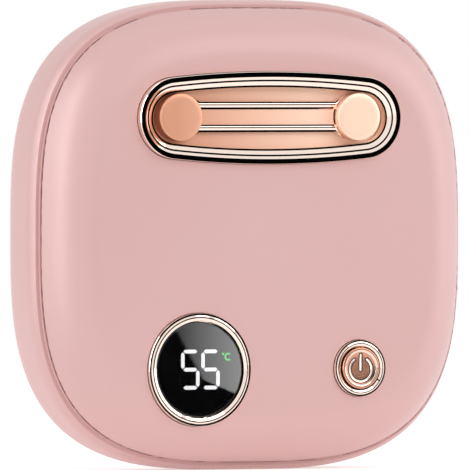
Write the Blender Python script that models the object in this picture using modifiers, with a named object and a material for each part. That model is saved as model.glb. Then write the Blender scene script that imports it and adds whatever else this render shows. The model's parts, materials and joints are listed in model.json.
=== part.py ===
"""Palm-size electric hand warmer: two plastic shells, a grille ornament, a round display and a power button.

Metres, +Z up. The face looks along -Y, and the origin is on the surface that the warmer stands on.
Every piece hangs from one empty that turns the drawing plane upright. In that drawing plane
X is to the right, Y is up the face and Z comes forward out of the face, with Z = 0 at the seam ledge.
"""

import math

import bmesh
import bpy
from mathutils import Matrix, Vector

# Driving dimensions of the body
BODY_WIDTH = 0.0921
BODY_HEIGHT = 0.0900
REAR_DEPTH = 0.0158
FRONT_RISE = 0.00775
CROWN_RISE = 0.00035
FRONT_EDGE_INSET = 0.0095
BACK_EDGE_RADIUS = 0.0075
WALL = 0.0018
FOOT_DEPTH = 0.00015
GAP = 0.0003

# Counts, angles and shapes that have no length
SQUARENESS = 3.1
OUTLINE_STEPS = 64
EDGE_START_ANGLE = math.radians(29)
EDGE_STEPS = 7
INNER_EDGE_STEPS = 5
BACK_STEPS = 5
RIM_STEPS = 3
CROWN_SHARES = (0.22, 0.5, 0.8)
ROUND_STEPS = 40
SMALL_ROUND_STEPS = 16
BEVEL_STEPS = 2
LEAD_STEPS = 3
SMOOTH_ANGLE = math.radians(35)

# Seam between the shells
RIM_INSET = 0.0009
RIM_DROP = 0.0008
RIM_RADIUS = 0.0040
GROOVE_WIDTH = 0.0006
GROOVE_UNDERCUT = 0.0006
LEDGE_WIDTH = 0.0021
LEDGE_THICKNESS = 0.0013
LEDGE_SLOPE = 0.0008
TONGUE_THICKNESS = 0.0010
TONGUE_LENGTH = 0.0012

# Grille ornament
GRILLE_DROP = 0.0226
GRILLE_LENGTH = 0.0555
GRILLE_HEIGHT = 0.0177
GRILLE_END_RADIUS = 0.0078
GRILLE_ARC_STEPS = 9
GRILLE_TOP_STEPS = 3
GRILLE_PROUD = 0.00135
GRILLE_SEAT_DEPTH = 0.00075
GRILLE_FLANGE_WIDTH = 0.0014
GRILLE_RIM_WIDTH = 0.0016
RIM_ROUND_SHARE = 0.25
GRILLE_SLOPE_WIDTH = 0.00135
GRILLE_SLOPE_DEPTH = 0.0022
GRILLE_PLATE_THICKNESS = 0.0011
WELL_WALL = 0.0015
WELL_FLOOR = 0.0010

# Discs and bar on the grille plate
DISC_SPACING = 0.0380
DISC_RADIUS = 0.0045
DISC_HEIGHT = 0.0024
DISC_ROUND = 0.0005
ROUND_SHARE = 0.3
BAR_RISE = 0.0002
BAR_WIDTH = 0.0058
BAR_THICKNESS = 0.0006
BAR_FLARE_LENGTH = 0.0022
BAR_FLARE_RISE = 0.0013
RIDGE_WIDTH = 0.0012
RIDGE_HEIGHT = 0.0005

# Display
DISPLAY_X_SHARE = -0.3214
DISPLAY_RAISE = 0.0195
DISPLAY_RADIUS = 0.0108
DISPLAY_RING_WIDTH = 0.0015
DISPLAY_PROUD = 0.00085
DISPLAY_SEAT_DEPTH = 0.00128
DISPLAY_SKIRT_WIDTH = 0.0008
DISPLAY_SKIRT_DEPTH = 0.0013
DISPLAY_LEDGE_WIDTH = 0.0010
DISPLAY_LEDGE_THICKNESS = 0.0009
RING_STEP = 0.00022
BOSS_WALL = 0.0012
BOSS_DEPTH = 0.0020
LENS_THICKNESS = 0.0014
LIGHT_BACKING = 0.0003
LIGHT_RELIEF = 0.0002
DIGIT_HEIGHT = 0.00762
DIGIT_WIDTH = 0.0039
DIGIT_PITCH = 0.0043
SEGMENT_WIDTH = 0.00072
SEGMENT_SPACE = 0.00028
DIGITS_SHIFT = 0.0008
LIGHT_MARGIN = 0.0001
DEGREE_RADIUS = 0.00024
CELSIUS_RADIUS = 0.00078
CELSIUS_STROKE = 0.0003
CELSIUS_WIDTH = 0.0020
CELSIUS_HEIGHT = 0.0017
CELSIUS_DROP = 0.00057
CELSIUS_OPENING = math.radians(50)

# Power button
BUTTON_X_SHARE = 0.4213
BUTTON_RADIUS = 0.00542
BUTTON_RING_WIDTH = 0.00117
BUTTON_PROUD = 0.00085
BUTTON_SEAT_DEPTH = 0.00080
BUTTON_SKIRT_WIDTH = 0.0006
BUTTON_SKIRT_DEPTH = 0.0016
CAP_PROUD = 0.0003
CAP_DISH = 0.00035
CAP_RIM_WIDTH = 0.00045
CAP_SLOPE_WIDTH = 0.0004
CAP_FLANGE_WIDTH = 0.0008
CAP_FLANGE_THICKNESS = 0.0009
BUTTON_TRAVEL = 0.0004
SWITCH_SIDE = 0.0060
PLUNGER_RADIUS = 0.0017
PLUNGER_DEPTH = 0.0013

# Circuit board and what it carries
BOARD_THICKNESS = 0.0010
BOARD_HEADROOM = 0.0050
BOARD_ARM_WIDTH = 0.0086
PORT_RAISE = 0.0370
PORT_WIDTH = 0.00894
PORT_HEIGHT = 0.0032
PORT_LENGTH = 0.0073
PORT_WALL = 0.0003
PORT_RECESS = 0.0005
PORT_CORNER_STEPS = 4
TONGUE_PLATE_WIDTH = 0.0066
TONGUE_PLATE_HEIGHT = 0.0007
TONGUE_PLATE_LENGTH = 0.0046
CHIP_SIDE = 0.0050
CHIP_HEIGHT = 0.0009
CHARGE_CHIP_SIDE = 0.0038
COIL_SIDE = 0.0070
COIL_HEIGHT = 0.0030
TRANSISTOR_SIDE = 0.0030
PART_BEVEL = 0.0003

# Tray, battery and screws
TRAY_STANDOFF = 0.0023
TRAY_THICKNESS = 0.0010
TRAY_RIM = 0.0010
TRAY_CORNER = 0.0015
BATTERY_SIDE_ROOM = 0.0119
BATTERY_END_ROOM = 0.0150
BATTERY_ROUND = 0.0008
PROTECTION_LENGTH = 0.0240
PROTECTION_WIDTH = 0.0032
PROTECTION_THICKNESS = 0.0012
BOSS_RADIUS = 0.0024
BOSS_X_SHARE = 0.532
BOSS_EDGE_ROOM = 0.0115
SCREW_RADIUS = 0.00075
SCREW_LENGTH = 0.0080
SCREW_HEAD_RADIUS = 0.0017
SCREW_HEAD_HEIGHT = 0.0012
SLOT_WIDTH = 0.0100
SLOT_HEIGHT = 0.0045

# Heaters and leads
HEAT_PLATE_THICKNESS = 0.0008
FILM_THICKNESS = 0.0003
FOAM_THICKNESS = 0.0012
FOAM_INSET = 0.0010
FRONT_PLATE_HALF_WIDTH = 0.0300
HEATER_ROOM = 0.0010
FRONT_FOAM_HALF_WIDTH = 0.0220
FILM_TAIL_WIDTH = 0.0080
FILM_TAIL_LENGTH = 0.0042
HEATER_LEAD_RADIUS = 0.0005
HEATER_LEAD_SPACING = 0.0030
BATTERY_LEAD_RADIUS = 0.00055
BATTERY_LEAD_SPACING = 0.0044
LEAD_BOW = 0.0008
LEAD_STRAIGHT = 0.0008
THERMISTOR_RADIUS = 0.0009
THERMISTOR_LENGTH = 0.0024
THERMISTOR_LEAD_RADIUS = 0.00025
THERMISTOR_LEAD_SPACING = 0.0009

# Working values
OVERRUN = 0.0050
MERGE_DISTANCE = 0.000001
HALF_WIDTH = BODY_WIDTH / 2
HALF_HEIGHT = BODY_HEIGHT / 2
FOOT_LEVEL = -(HALF_HEIGHT - FOOT_DEPTH)
SEAM_INSET = RIM_INSET + GROOVE_WIDTH
LEDGE_INSET = RIM_INSET + LEDGE_WIDTH
TONGUE_OUTSIDE = LEDGE_INSET + GAP
TONGUE_INSIDE = TONGUE_OUTSIDE + TONGUE_THICKNESS


# Scene set-up
for old_object in list(bpy.data.objects):
    bpy.data.objects.remove(old_object, do_unlink=True)

warmer = bpy.data.collections.new("electric_hand_warmer")
cutters = bpy.data.collections.new("cutters")
bpy.context.scene.collection.children.link(warmer)
bpy.context.scene.collection.children.link(cutters)


def material(name, colour, roughness, metallic=0.0):
    """A plain Principled BSDF."""
    made = bpy.data.materials.new(name)
    made.use_nodes = True
    shader = made.node_tree.nodes["Principled BSDF"]
    shader.inputs["Base Color"].default_value = (*colour, 1.0)
    shader.inputs["Roughness"].default_value = roughness
    shader.inputs["Metallic"].default_value = metallic
    return made


PINK_PLASTIC = material("pink_abs", (0.74, 0.47, 0.45), 0.38)
POLISHED_GOLD = material("polished_rose_gold", (0.86, 0.55, 0.43), 0.12, 1.0)
SATIN_GOLD = material("satin_rose_gold", (0.88, 0.60, 0.47), 0.32, 1.0)
SMOKED_ACRYLIC = material("smoked_acrylic", (0.01, 0.01, 0.012), 0.06)
WHITE_LIGHT = material("white_diffuser", (0.9, 0.9, 0.9), 0.4)
GREEN_LIGHT = material("green_diffuser", (0.2, 0.8, 0.25), 0.4)
BLACK_PLASTIC = material("black_nylon", (0.02, 0.02, 0.02), 0.5)
STEEL = material("nickel_steel", (0.62, 0.62, 0.62), 0.3, 1.0)
BOARD_GREEN = material("board_laminate", (0.02, 0.16, 0.07), 0.45)
ALUMINIUM = material("aluminium_sheet", (0.8, 0.8, 0.8), 0.35, 1.0)
HEATER_AMBER = material("polyimide_film", (0.55, 0.25, 0.05), 0.35)
FOAM_WHITE = material("white_foam", (0.8, 0.8, 0.78), 0.9)
CELL_SILVER = material("cell_pouch", (0.6, 0.6, 0.62), 0.35, 1.0)
TRAY_GREY = material("grey_abs", (0.35, 0.35, 0.36), 0.5)
RED_LEAD = material("red_silicone", (0.6, 0.03, 0.02), 0.5)
BLACK_LEAD = material("black_silicone", (0.02, 0.02, 0.02), 0.5)
WHITE_LEAD = material("white_silicone", (0.8, 0.8, 0.8), 0.5)


def place(shape, holder, finish=None, location=(0, 0, 0)):
    """Links an object into a collection and hangs it from the assembly."""
    holder.objects.link(shape)
    shape.parent = assembly
    shape.location = location
    if finish is not None:
        shape.data.materials.append(finish)
    if holder == cutters:
        shape.hide_render = True
        shape.display_type = "WIRE"
    return shape


def soften(shape):
    """Shades smooth, with sharp edges kept."""
    shape.data.shade_smooth()
    shape.data.set_sharp_from_angle(angle=SMOOTH_ANGLE)
    return shape


def loft(name, rings, holder, finish=None, location=(0, 0, 0), looped=False):
    """Joins rings of points, each with as many as the others, into one closed skin."""
    shape = bmesh.new()
    rows = [[shape.verts.new(point) for point in ring] for ring in rings]
    pairs = list(zip(rows, rows[1:]))
    if looped:
        pairs.append((rows[-1], rows[0]))
    for lower, upper in pairs:
        for index, corner in enumerate(lower):
            following = (index + 1) % len(lower)
            shape.faces.new((corner, lower[following], upper[following], upper[index]))
    if not looped:
        shape.faces.new(list(reversed(rows[0])))
        shape.faces.new(rows[-1])
    bmesh.ops.recalc_face_normals(shape, faces=shape.faces[:])
    mesh = bpy.data.meshes.new(name)
    shape.to_mesh(mesh)
    shape.free()
    return soften(place(bpy.data.objects.new(name, mesh), holder, finish, location))


def lifted(outline, level):
    """Points of a flat outline raised to a level."""
    return [(x, y, level) for x, y in outline]


def prism(name, outline, bottom, top, holder, finish=None, location=(0, 0, 0)):
    """A flat outline given a thickness, from a filled 2D curve made into a mesh."""
    curve = bpy.data.curves.new(name, "CURVE")
    curve.dimensions = "2D"
    curve.fill_mode = "BOTH"
    curve.extrude = (top - bottom) / 2
    spline = curve.splines.new("POLY")
    spline.points.add(len(outline) - 1)
    for point, (x, y) in zip(spline.points, outline):
        point.co = (x, y, 0, 1)
    spline.use_cyclic_u = True
    drawn = bpy.data.objects.new(name + "_outline", curve)
    bpy.context.scene.collection.objects.link(drawn)
    graph = bpy.context.evaluated_depsgraph_get()
    mesh = bpy.data.meshes.new_from_object(drawn.evaluated_get(graph))
    bpy.data.objects.remove(drawn)
    bpy.data.curves.remove(curve)
    mesh.name = name
    mesh.materials.clear()
    shape = bmesh.new()
    shape.from_mesh(mesh)
    bmesh.ops.remove_doubles(shape, verts=shape.verts[:], dist=MERGE_DISTANCE)
    bmesh.ops.translate(shape, verts=shape.verts[:], vec=(0, 0, (top + bottom) / 2))
    bmesh.ops.recalc_face_normals(shape, faces=shape.faces[:])
    shape.to_mesh(mesh)
    shape.free()
    return soften(place(bpy.data.objects.new(name, mesh), holder, finish, location))


def turned(name, profile, holder, finish=None, location=(0, 0, 0), hollow=False, steps=ROUND_STEPS):
    """Turns a profile of (radius, height) points, top to bottom on its outer side, about the forward axis."""
    mesh = bpy.data.meshes.new(name)
    edges = [(index, index + 1) for index in range(len(profile) - 1)]
    if hollow:
        edges.append((len(profile) - 1, 0))
    mesh.from_pydata([(radius, 0, height) for radius, height in profile], edges, [])
    shape = place(bpy.data.objects.new(name, mesh), holder, finish, location)
    screw = shape.modifiers.new("turn", "SCREW")
    screw.angle = math.tau
    screw.steps = steps
    screw.render_steps = steps
    screw.use_merge_vertices = True
    screw.merge_threshold = MERGE_DISTANCE
    screw.use_smooth_shade = True
    return shape


def disc(name, radius, bottom, top, holder, finish=None, location=(0, 0, 0), steps=ROUND_STEPS):
    """A plain cylinder along the forward axis."""
    profile = [(0, top), (radius, top), (radius, bottom), (0, bottom)]
    return turned(name, profile, holder, finish, location, steps=steps)


def box(name, low, high, holder, finish=None, bevel=0.0, location=(0, 0, 0)):
    """A cube stretched between two corners, with its scale applied and its edges rounded."""
    shape = bmesh.new()
    bmesh.ops.create_cube(shape, size=1)
    size = Vector(high) - Vector(low)
    middle = (Vector(high) + Vector(low)) / 2
    bmesh.ops.transform(shape, matrix=Matrix.Diagonal((*size, 1)), verts=shape.verts[:])
    bmesh.ops.translate(shape, verts=shape.verts[:], vec=middle)
    mesh = bpy.data.meshes.new(name)
    shape.to_mesh(mesh)
    shape.free()
    made = place(bpy.data.objects.new(name, mesh), holder, finish, location)
    if bevel:
        rounding = made.modifiers.new("rounding", "BEVEL")
        rounding.width = bevel
        rounding.segments = BEVEL_STEPS
    return made


def lead(name, points, radius, finish):
    """An insulated wire: a smooth curve through its points, with filled ends."""
    curve = bpy.data.curves.new(name, "CURVE")
    curve.dimensions = "3D"
    curve.resolution_u = LEAD_STEPS
    curve.bevel_depth = radius
    curve.bevel_resolution = 1
    curve.use_fill_caps = True
    spline = curve.splines.new("BEZIER")
    spline.bezier_points.add(len(points) - 1)
    for bezier, point in zip(spline.bezier_points, points):
        bezier.co = point
        bezier.handle_left_type = "AUTO"
        bezier.handle_right_type = "AUTO"
    made = bpy.data.objects.new(name, curve)
    return place(made, warmer, finish)


def combine(target, tools, operation):
    """One exact Boolean that cuts with, or joins, all of a piece's hidden tools."""
    name = f"{target.name}_{operation.lower()}"
    group = bpy.data.collections.new(name)
    cutters.children.link(group)
    for tool in tools:
        cutters.objects.unlink(tool)
        group.objects.link(tool)
    step = target.modifiers.new(name, "BOOLEAN")
    step.operation = operation
    step.solver = "EXACT"
    step.operand_type = "COLLECTION"
    step.collection = group


def cut(target, *tools):
    combine(target, tools, "DIFFERENCE")


def join(target, *tools):
    combine(target, tools, "UNION")


# Outlines and heights that the pieces share
def body_outline(inset):
    """The rounded square of the body, drawn in by an inset."""
    outline = []
    for step in range(OUTLINE_STEPS):
        angle = math.tau * step / OUTLINE_STEPS
        across = math.copysign(abs(math.cos(angle)) ** (2 / SQUARENESS), math.cos(angle))
        along = math.copysign(abs(math.sin(angle)) ** (2 / SQUARENESS), math.sin(angle))
        outline.append(((HALF_WIDTH - inset) * across, (HALF_HEIGHT - inset) * along))
    return outline


def standing(outline):
    """The same outline with its lowest points levelled to the flat foot."""
    return [(x, max(y, FOOT_LEVEL)) for x, y in outline]


def front_edge(angle):
    """Inset and height of the front shell's rounded edge at an angle of its arc."""
    start = EDGE_START_ANGLE
    inset = FRONT_EDGE_INSET * (math.cos(start) - math.cos(angle)) / math.cos(start)
    height = FRONT_RISE * (math.sin(angle) - math.sin(start)) / (1 - math.sin(start))
    return inset, height


def front_wall_inside(angle):
    """The point one wall thickness inside the rounded edge."""
    inset, height = front_edge(angle)
    start = EDGE_START_ANGLE
    run = FRONT_EDGE_INSET / math.cos(start) * math.sin(angle)
    rise = FRONT_RISE / (1 - math.sin(start)) * math.cos(angle)
    length = math.hypot(run, rise)
    return inset + WALL * rise / length, height - WALL * run / length


def crown(share):
    """Inset and height of the face at a share of the way from its edge to its middle."""
    inset = FRONT_EDGE_INSET + share * (HALF_HEIGHT - SEAM_INSET - FRONT_EDGE_INSET)
    return inset, FRONT_RISE + CROWN_RISE * (1 - (1 - share) ** 2)


def face_height(x, y):
    """Height of the outer face above the seam at a place on it."""
    across = abs(x) / (HALF_WIDTH - SEAM_INSET)
    along = abs(y) / (HALF_HEIGHT - SEAM_INSET)
    reach = (across**SQUARENESS + along**SQUARENESS) ** (1 / SQUARENESS)
    inset = (HALF_HEIGHT - SEAM_INSET) * (1 - reach)
    if inset < FRONT_EDGE_INSET:
        start = math.cos(EDGE_START_ANGLE)
        return front_edge(math.acos(start * (1 - inset / FRONT_EDGE_INSET)))[1]
    share = (inset - FRONT_EDGE_INSET) / (HALF_HEIGHT - SEAM_INSET - FRONT_EDGE_INSET)
    return crown(share)[1]


def arc_angles(first, last, steps):
    return [first + (last - first) * step / steps for step in range(steps + 1)]


def oval(inset):
    """The grille's long oval, of two round ends and two shallow arcs that meet them, drawn in by an inset."""
    half_length = GRILLE_LENGTH / 2
    half_height = GRILLE_HEIGHT / 2
    end = half_length - GRILLE_END_RADIUS
    long_radius = (end**2 + half_height**2 - GRILLE_END_RADIUS**2) / (2 * (half_height - GRILLE_END_RADIUS))
    lean = math.asin(end / (long_radius - GRILLE_END_RADIUS))
    quarter = []
    for angle in arc_angles(0, math.pi / 2 - lean, GRILLE_ARC_STEPS):
        radius = GRILLE_END_RADIUS - inset
        quarter.append((end + radius * math.cos(angle), radius * math.sin(angle)))
    for angle in arc_angles(math.pi / 2 - lean, math.pi / 2, GRILLE_TOP_STEPS)[1:]:
        radius = long_radius - inset
        quarter.append((radius * math.cos(angle), radius * math.sin(angle) - (long_radius - half_height)))
    left = [(-x, y) for x, y in reversed(quarter[:-1])]
    upper = quarter + left
    return upper + [(x, -y) for x, y in reversed(upper[1:-1])]


def rounded_rectangle(half_width, half_height, radius, steps):
    """A rectangle with arcs at its corners."""
    outline = []
    corners = ((1, 1, 0), (-1, 1, 1), (-1, -1, 2), (1, -1, 3))
    for side, level, turn in corners:
        first = turn * math.pi / 2
        for angle in arc_angles(first, first + math.pi / 2, steps):
            x = side * (half_width - radius) + radius * math.cos(angle)
            y = level * (half_height - radius) + radius * math.sin(angle)
            outline.append((x, y))
    return outline


# Heights and places worked out from the driving dimensions
display_x = DISPLAY_X_SHARE * HALF_WIDTH
button_x = BUTTON_X_SHARE * HALF_WIDTH
boss_x = BOSS_X_SHARE * HALF_WIDTH
grille_y = HALF_HEIGHT - GRILLE_DROP
lower_y = -(HALF_HEIGHT - DISPLAY_RAISE)
grille_face = face_height(0, grille_y)
display_face = face_height(display_x, lower_y)
button_face = face_height(button_x, lower_y)
front_reach = grille_face + GRILLE_PROUD
board_front = -GAP
board_back = board_front - BOARD_THICKNESS
board_top = lower_y + DISPLAY_RADIUS + BOARD_HEADROOM
tray_front = board_back - TRAY_STANDOFF
battery_front = tray_front - TRAY_THICKNESS - GAP
back_inside = -(REAR_DEPTH - WALL)
rear_plate_back = back_inside + GAP
rear_film_back = rear_plate_back + HEAT_PLATE_THICKNESS + GAP
rear_foam_back = rear_film_back + FILM_THICKNESS + GAP
battery_back = rear_foam_back + FOAM_THICKNESS + GAP
battery_half_width = HALF_WIDTH - BATTERY_SIDE_ROOM
battery_half_height = HALF_HEIGHT - BATTERY_END_ROOM
boss_y = HALF_HEIGHT - BOSS_EDGE_ROOM
boss_bottom = board_front + GAP
boss_places = [(-boss_x, boss_y), (boss_x, boss_y), (-boss_x, -boss_y), (boss_x, -boss_y)]
screw_bore = SCREW_RADIUS + GAP
screw_head = tray_front - TRAY_THICKNESS - GAP

# The assembly empty turns the drawing plane upright and sets the foot on the ground
assembly = bpy.data.objects.new("assembly", None)
warmer.objects.link(assembly)
assembly.location = (0, (front_reach - REAR_DEPTH) / 2, -FOOT_LEVEL)
assembly.rotation_euler = (math.pi / 2, 0, 0)


def build_front_shell():
    """The domed pink front half, hollowed, with its grille well, display seat and screw bosses."""
    rings = [lifted(body_outline(TONGUE_OUTSIDE), -TONGUE_LENGTH)]
    rings.append(lifted(body_outline(TONGUE_OUTSIDE), GAP))
    angles = arc_angles(EDGE_START_ANGLE, math.pi / 2, EDGE_STEPS)
    for angle in angles:
        inset, height = front_edge(angle)
        rings.append(lifted(body_outline(SEAM_INSET + inset), max(height, GAP)))
    for share in CROWN_SHARES:
        inset, height = crown(share)
        rings.append(lifted(body_outline(SEAM_INSET + inset), height))
    shell = loft("front_shell", rings, warmer, PINK_PLASTIC)

    hollow = [lifted(body_outline(TONGUE_INSIDE), -TONGUE_LENGTH - OVERRUN)]
    hollow.append(lifted(body_outline(TONGUE_INSIDE), GAP))
    for angle in arc_angles(EDGE_START_ANGLE, math.pi / 2, INNER_EDGE_STEPS):
        inset, height = front_wall_inside(angle)
        if SEAM_INSET + inset > TONGUE_INSIDE + GAP and height > 2 * GAP:
            hollow.append(lifted(body_outline(SEAM_INSET + inset), height))
    for share in CROWN_SHARES:
        inset, height = crown(share)
        hollow.append(lifted(body_outline(SEAM_INSET + inset), height - WALL))
    front_void = loft("front_void", hollow, cutters)

    grille_place = (0, grille_y, 0)
    well = oval(GRILLE_FLANGE_WIDTH - GAP - WELL_WALL)
    well_bottom = grille_plate_bottom - GAP - WELL_FLOOR
    kept = [prism("well_block", well, well_bottom, front_reach, cutters, None, grille_place)]
    boss_radius = DISPLAY_RADIUS + GAP + BOSS_WALL
    boss_back = display_seat - BOSS_DEPTH
    display_place = (display_x, lower_y, 0)
    kept.append(disc("display_boss", boss_radius, boss_back, front_reach, cutters, None, display_place))
    for index, (x, y) in enumerate(boss_places, 1):
        name = f"shell_boss_{index}"
        boss = disc(name, BOSS_RADIUS, boss_bottom, front_reach, cutters, None, (x, y, 0), SMALL_ROUND_STEPS)
        kept.append(boss)
    cut(front_void, *kept)

    top = front_reach + OVERRUN
    pocket = oval(GRILLE_FLANGE_WIDTH - GAP)
    seat = oval(-GAP)
    steps = [lifted(pocket, grille_plate_bottom - GAP), lifted(pocket, grille_seat)]
    steps += [lifted(seat, grille_seat), lifted(seat, top)]
    removed = [front_void, loft("grille_pocket", steps, cutters, None, grille_place)]
    for name, x, radius, level, skirt in (
        ("display_opening", display_x, DISPLAY_RADIUS + GAP, display_seat, display_skirt_radius + GAP),
        ("button_opening", button_x, BUTTON_RADIUS + GAP, button_seat, button_skirt_radius + GAP),
    ):
        profile = [(0, top), (radius, top), (radius, level), (skirt, level), (skirt, 0), (0, 0)]
        removed.append(turned(name, profile, cutters, None, (x, lower_y, 0)))
    bore_end = screw_head + SCREW_LENGTH + GAP
    for index, (x, y) in enumerate(boss_places, 1):
        name = f"boss_bore_{index}"
        bottom = boss_bottom - OVERRUN
        removed.append(disc(name, screw_bore, bottom, bore_end, cutters, None, (x, y, 0), SMALL_ROUND_STEPS))
    cut(shell, *removed)
    return shell


def build_rear_shell():
    """The deeper pink rear half: flat back, round edges, a lowered rim at the seam and an inner ledge."""
    side_end = -(REAR_DEPTH - BACK_EDGE_RADIUS)
    rings = []
    for angle in arc_angles(math.pi / 2, 0, BACK_STEPS):
        inset = BACK_EDGE_RADIUS * (1 - math.cos(angle))
        rings.append(lifted(standing(body_outline(inset)), side_end - BACK_EDGE_RADIUS * math.sin(angle)))
    rim_turn = math.acos(1 - RIM_INSET / RIM_RADIUS)
    side_front = -RIM_DROP - RIM_RADIUS * math.sin(rim_turn)
    for angle in arc_angles(0, rim_turn, RIM_STEPS):
        inset = RIM_RADIUS * (1 - math.cos(angle))
        rings.append(lifted(standing(body_outline(inset)), side_front + RIM_RADIUS * math.sin(angle)))
    rings.append(lifted(body_outline(SEAM_INSET + GROOVE_UNDERCUT), -RIM_DROP))
    rings.append(lifted(body_outline(SEAM_INSET + GROOVE_UNDERCUT), 0))
    rings.append(lifted(body_outline(LEDGE_INSET), 0))
    rings.append(lifted(body_outline(LEDGE_INSET), -LEDGE_THICKNESS))
    rings.append(lifted(body_outline(WALL), -LEDGE_THICKNESS - LEDGE_SLOPE))
    for angle in arc_angles(0, math.pi / 2, BACK_STEPS):
        radius = BACK_EDGE_RADIUS - WALL
        inset = BACK_EDGE_RADIUS - radius * math.cos(angle)
        rings.append(lifted(body_outline(inset), side_end - radius * math.sin(angle)))
    shell = loft("rear_shell", rings, warmer, PINK_PLASTIC)
    cut(shell, port_solid("port_hole", GAP, port_inner_x - OVERRUN, HALF_WIDTH + OVERRUN, cutters))
    return shell


def port_solid(name, margin, start, end, holder, finish=None):
    """A bar of the socket's stadium section, from one X to another."""
    half_width = PORT_WIDTH / 2 + margin
    half_height = PORT_HEIGHT / 2 + margin
    outline = rounded_rectangle(half_width, half_height, half_height, PORT_CORNER_STEPS)
    rings = []
    for x in (start, end):
        rings.append([(x, port_y + across, port_z + up) for across, up in outline])
    return loft(name, rings, holder, finish)


# Levels of the inlays in the face
grille_top = grille_face + GRILLE_PROUD
grille_seat = grille_face - GRILLE_SEAT_DEPTH - GAP
grille_flange = grille_face - GRILLE_SEAT_DEPTH
grille_floor = grille_top - GRILLE_RIM_WIDTH * RIM_ROUND_SHARE - GRILLE_SLOPE_DEPTH
grille_plate_top = grille_floor - GAP
grille_plate_bottom = grille_plate_top - GRILLE_PLATE_THICKNESS
display_seat = display_face - DISPLAY_SEAT_DEPTH
display_inner_radius = DISPLAY_RADIUS - DISPLAY_RING_WIDTH
display_skirt_radius = display_inner_radius + DISPLAY_SKIRT_WIDTH
button_seat = button_face - BUTTON_SEAT_DEPTH
button_inner_radius = BUTTON_RADIUS - BUTTON_RING_WIDTH
button_skirt_radius = button_inner_radius + BUTTON_SKIRT_WIDTH
port_y = -(HALF_HEIGHT - PORT_RAISE)
port_z = board_back - GAP - PORT_HEIGHT / 2
port_outer_x = HALF_WIDTH - PORT_RECESS
port_inner_x = port_outer_x - PORT_LENGTH


def build_grille():
    """The ornament: polished rim, satin floor, ridged bar and two discs."""
    place_at = (0, grille_y, 0)
    round_off = GRILLE_RIM_WIDTH * RIM_ROUND_SHARE
    section = [
        (0, grille_flange),
        (0, grille_top - 2 * round_off),
        (round_off, grille_top - round_off / 2),
        (2 * round_off, grille_top),
        (3 * round_off, grille_top - round_off * RIM_ROUND_SHARE),
        (GRILLE_RIM_WIDTH, grille_top - round_off),
        (GRILLE_RIM_WIDTH + GRILLE_SLOPE_WIDTH, grille_floor),
        (GRILLE_FLANGE_WIDTH, grille_floor),
        (GRILLE_FLANGE_WIDTH, grille_flange),
    ]
    rings = [lifted(oval(inset), height) for inset, height in section]
    loft("grille_bezel", rings, warmer, POLISHED_GOLD, place_at, looped=True)
    plate_outline = oval(GRILLE_FLANGE_WIDTH)
    prism("grille_plate", plate_outline, grille_plate_bottom, grille_plate_top, warmer, SATIN_GOLD, place_at)

    bar_y = grille_y + BAR_RISE
    bar_bottom = grille_plate_top + GAP
    bar_top = bar_bottom + BAR_THICKNESS
    clear_radius = DISC_RADIUS + GAP
    half_width = BAR_WIDTH / 2
    flare = half_width + BAR_FLARE_RISE
    neck = DISC_SPACING / 2 - math.sqrt(clear_radius**2 - flare**2)
    waist = neck - BAR_FLARE_LENGTH
    first = math.asin(flare / clear_radius)
    end = []
    for angle in arc_angles(first, -first, SMALL_ROUND_STEPS // 2):
        x = DISC_SPACING / 2 - clear_radius * math.cos(angle)
        end.append((x, clear_radius * math.sin(angle)))
    right = [(waist, half_width)] + end + [(waist, -half_width)]
    outline = right + [(-x, y) for x, y in reversed(right)]
    bar_place = (0, bar_y, 0)
    bar = prism("grille_bar", outline, bar_bottom, bar_top, warmer, SATIN_GOLD, bar_place)
    ridges = []
    for name, side in (("upper", 1), ("lower", -1)):
        outer = side * half_width
        inner = side * (half_width - RIDGE_WIDTH)
        low = (-waist, min(outer, inner), bar_bottom + BAR_THICKNESS / 2)
        high = (waist, max(outer, inner), bar_top + RIDGE_HEIGHT)
        ridges.append(box(name + "_ridge", low, high, cutters, None, 0.0, bar_place))
    join(bar, *ridges)

    profile = [
        (0, bar_bottom + DISC_HEIGHT),
        (DISC_RADIUS - DISC_ROUND, bar_bottom + DISC_HEIGHT),
        (DISC_RADIUS - DISC_ROUND * ROUND_SHARE, bar_bottom + DISC_HEIGHT - DISC_ROUND * ROUND_SHARE),
        (DISC_RADIUS, bar_bottom + DISC_HEIGHT - DISC_ROUND),
        (DISC_RADIUS, bar_bottom),
        (0, bar_bottom),
    ]
    for name, side in (("grille_disc_left", -1), ("grille_disc_right", 1)):
        turned(name, profile, warmer, SATIN_GOLD, (side * DISC_SPACING / 2, bar_y, 0))


def segment(centre_x, centre_y, length, upright):
    """One lit segment with pointed ends, as an outline."""
    half = length / 2
    side = SEGMENT_WIDTH / 2
    upper = [(-half, 0), (side - half, side), (half - side, side)]
    lower = [(half, 0), (half - side, -side), (side - half, -side)]
    points = upper + lower
    if upright:
        points = [(-y, x) for x, y in points]
    return [(centre_x + x, centre_y + y) for x, y in points]


def digit_five(centre_x):
    """The five segments of the digit 5."""
    across = DIGIT_WIDTH / 2 - SEGMENT_WIDTH / 2
    level = DIGIT_HEIGHT / 2 - SEGMENT_WIDTH / 2
    flat = DIGIT_WIDTH - SEGMENT_WIDTH - SEGMENT_SPACE
    tall = level - SEGMENT_SPACE
    return [
        segment(centre_x, level, flat, False),
        segment(centre_x - across, level / 2, tall, True),
        segment(centre_x, 0, flat, False),
        segment(centre_x + across, -level / 2, tall, True),
        segment(centre_x, -level, flat, False),
    ]


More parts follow.
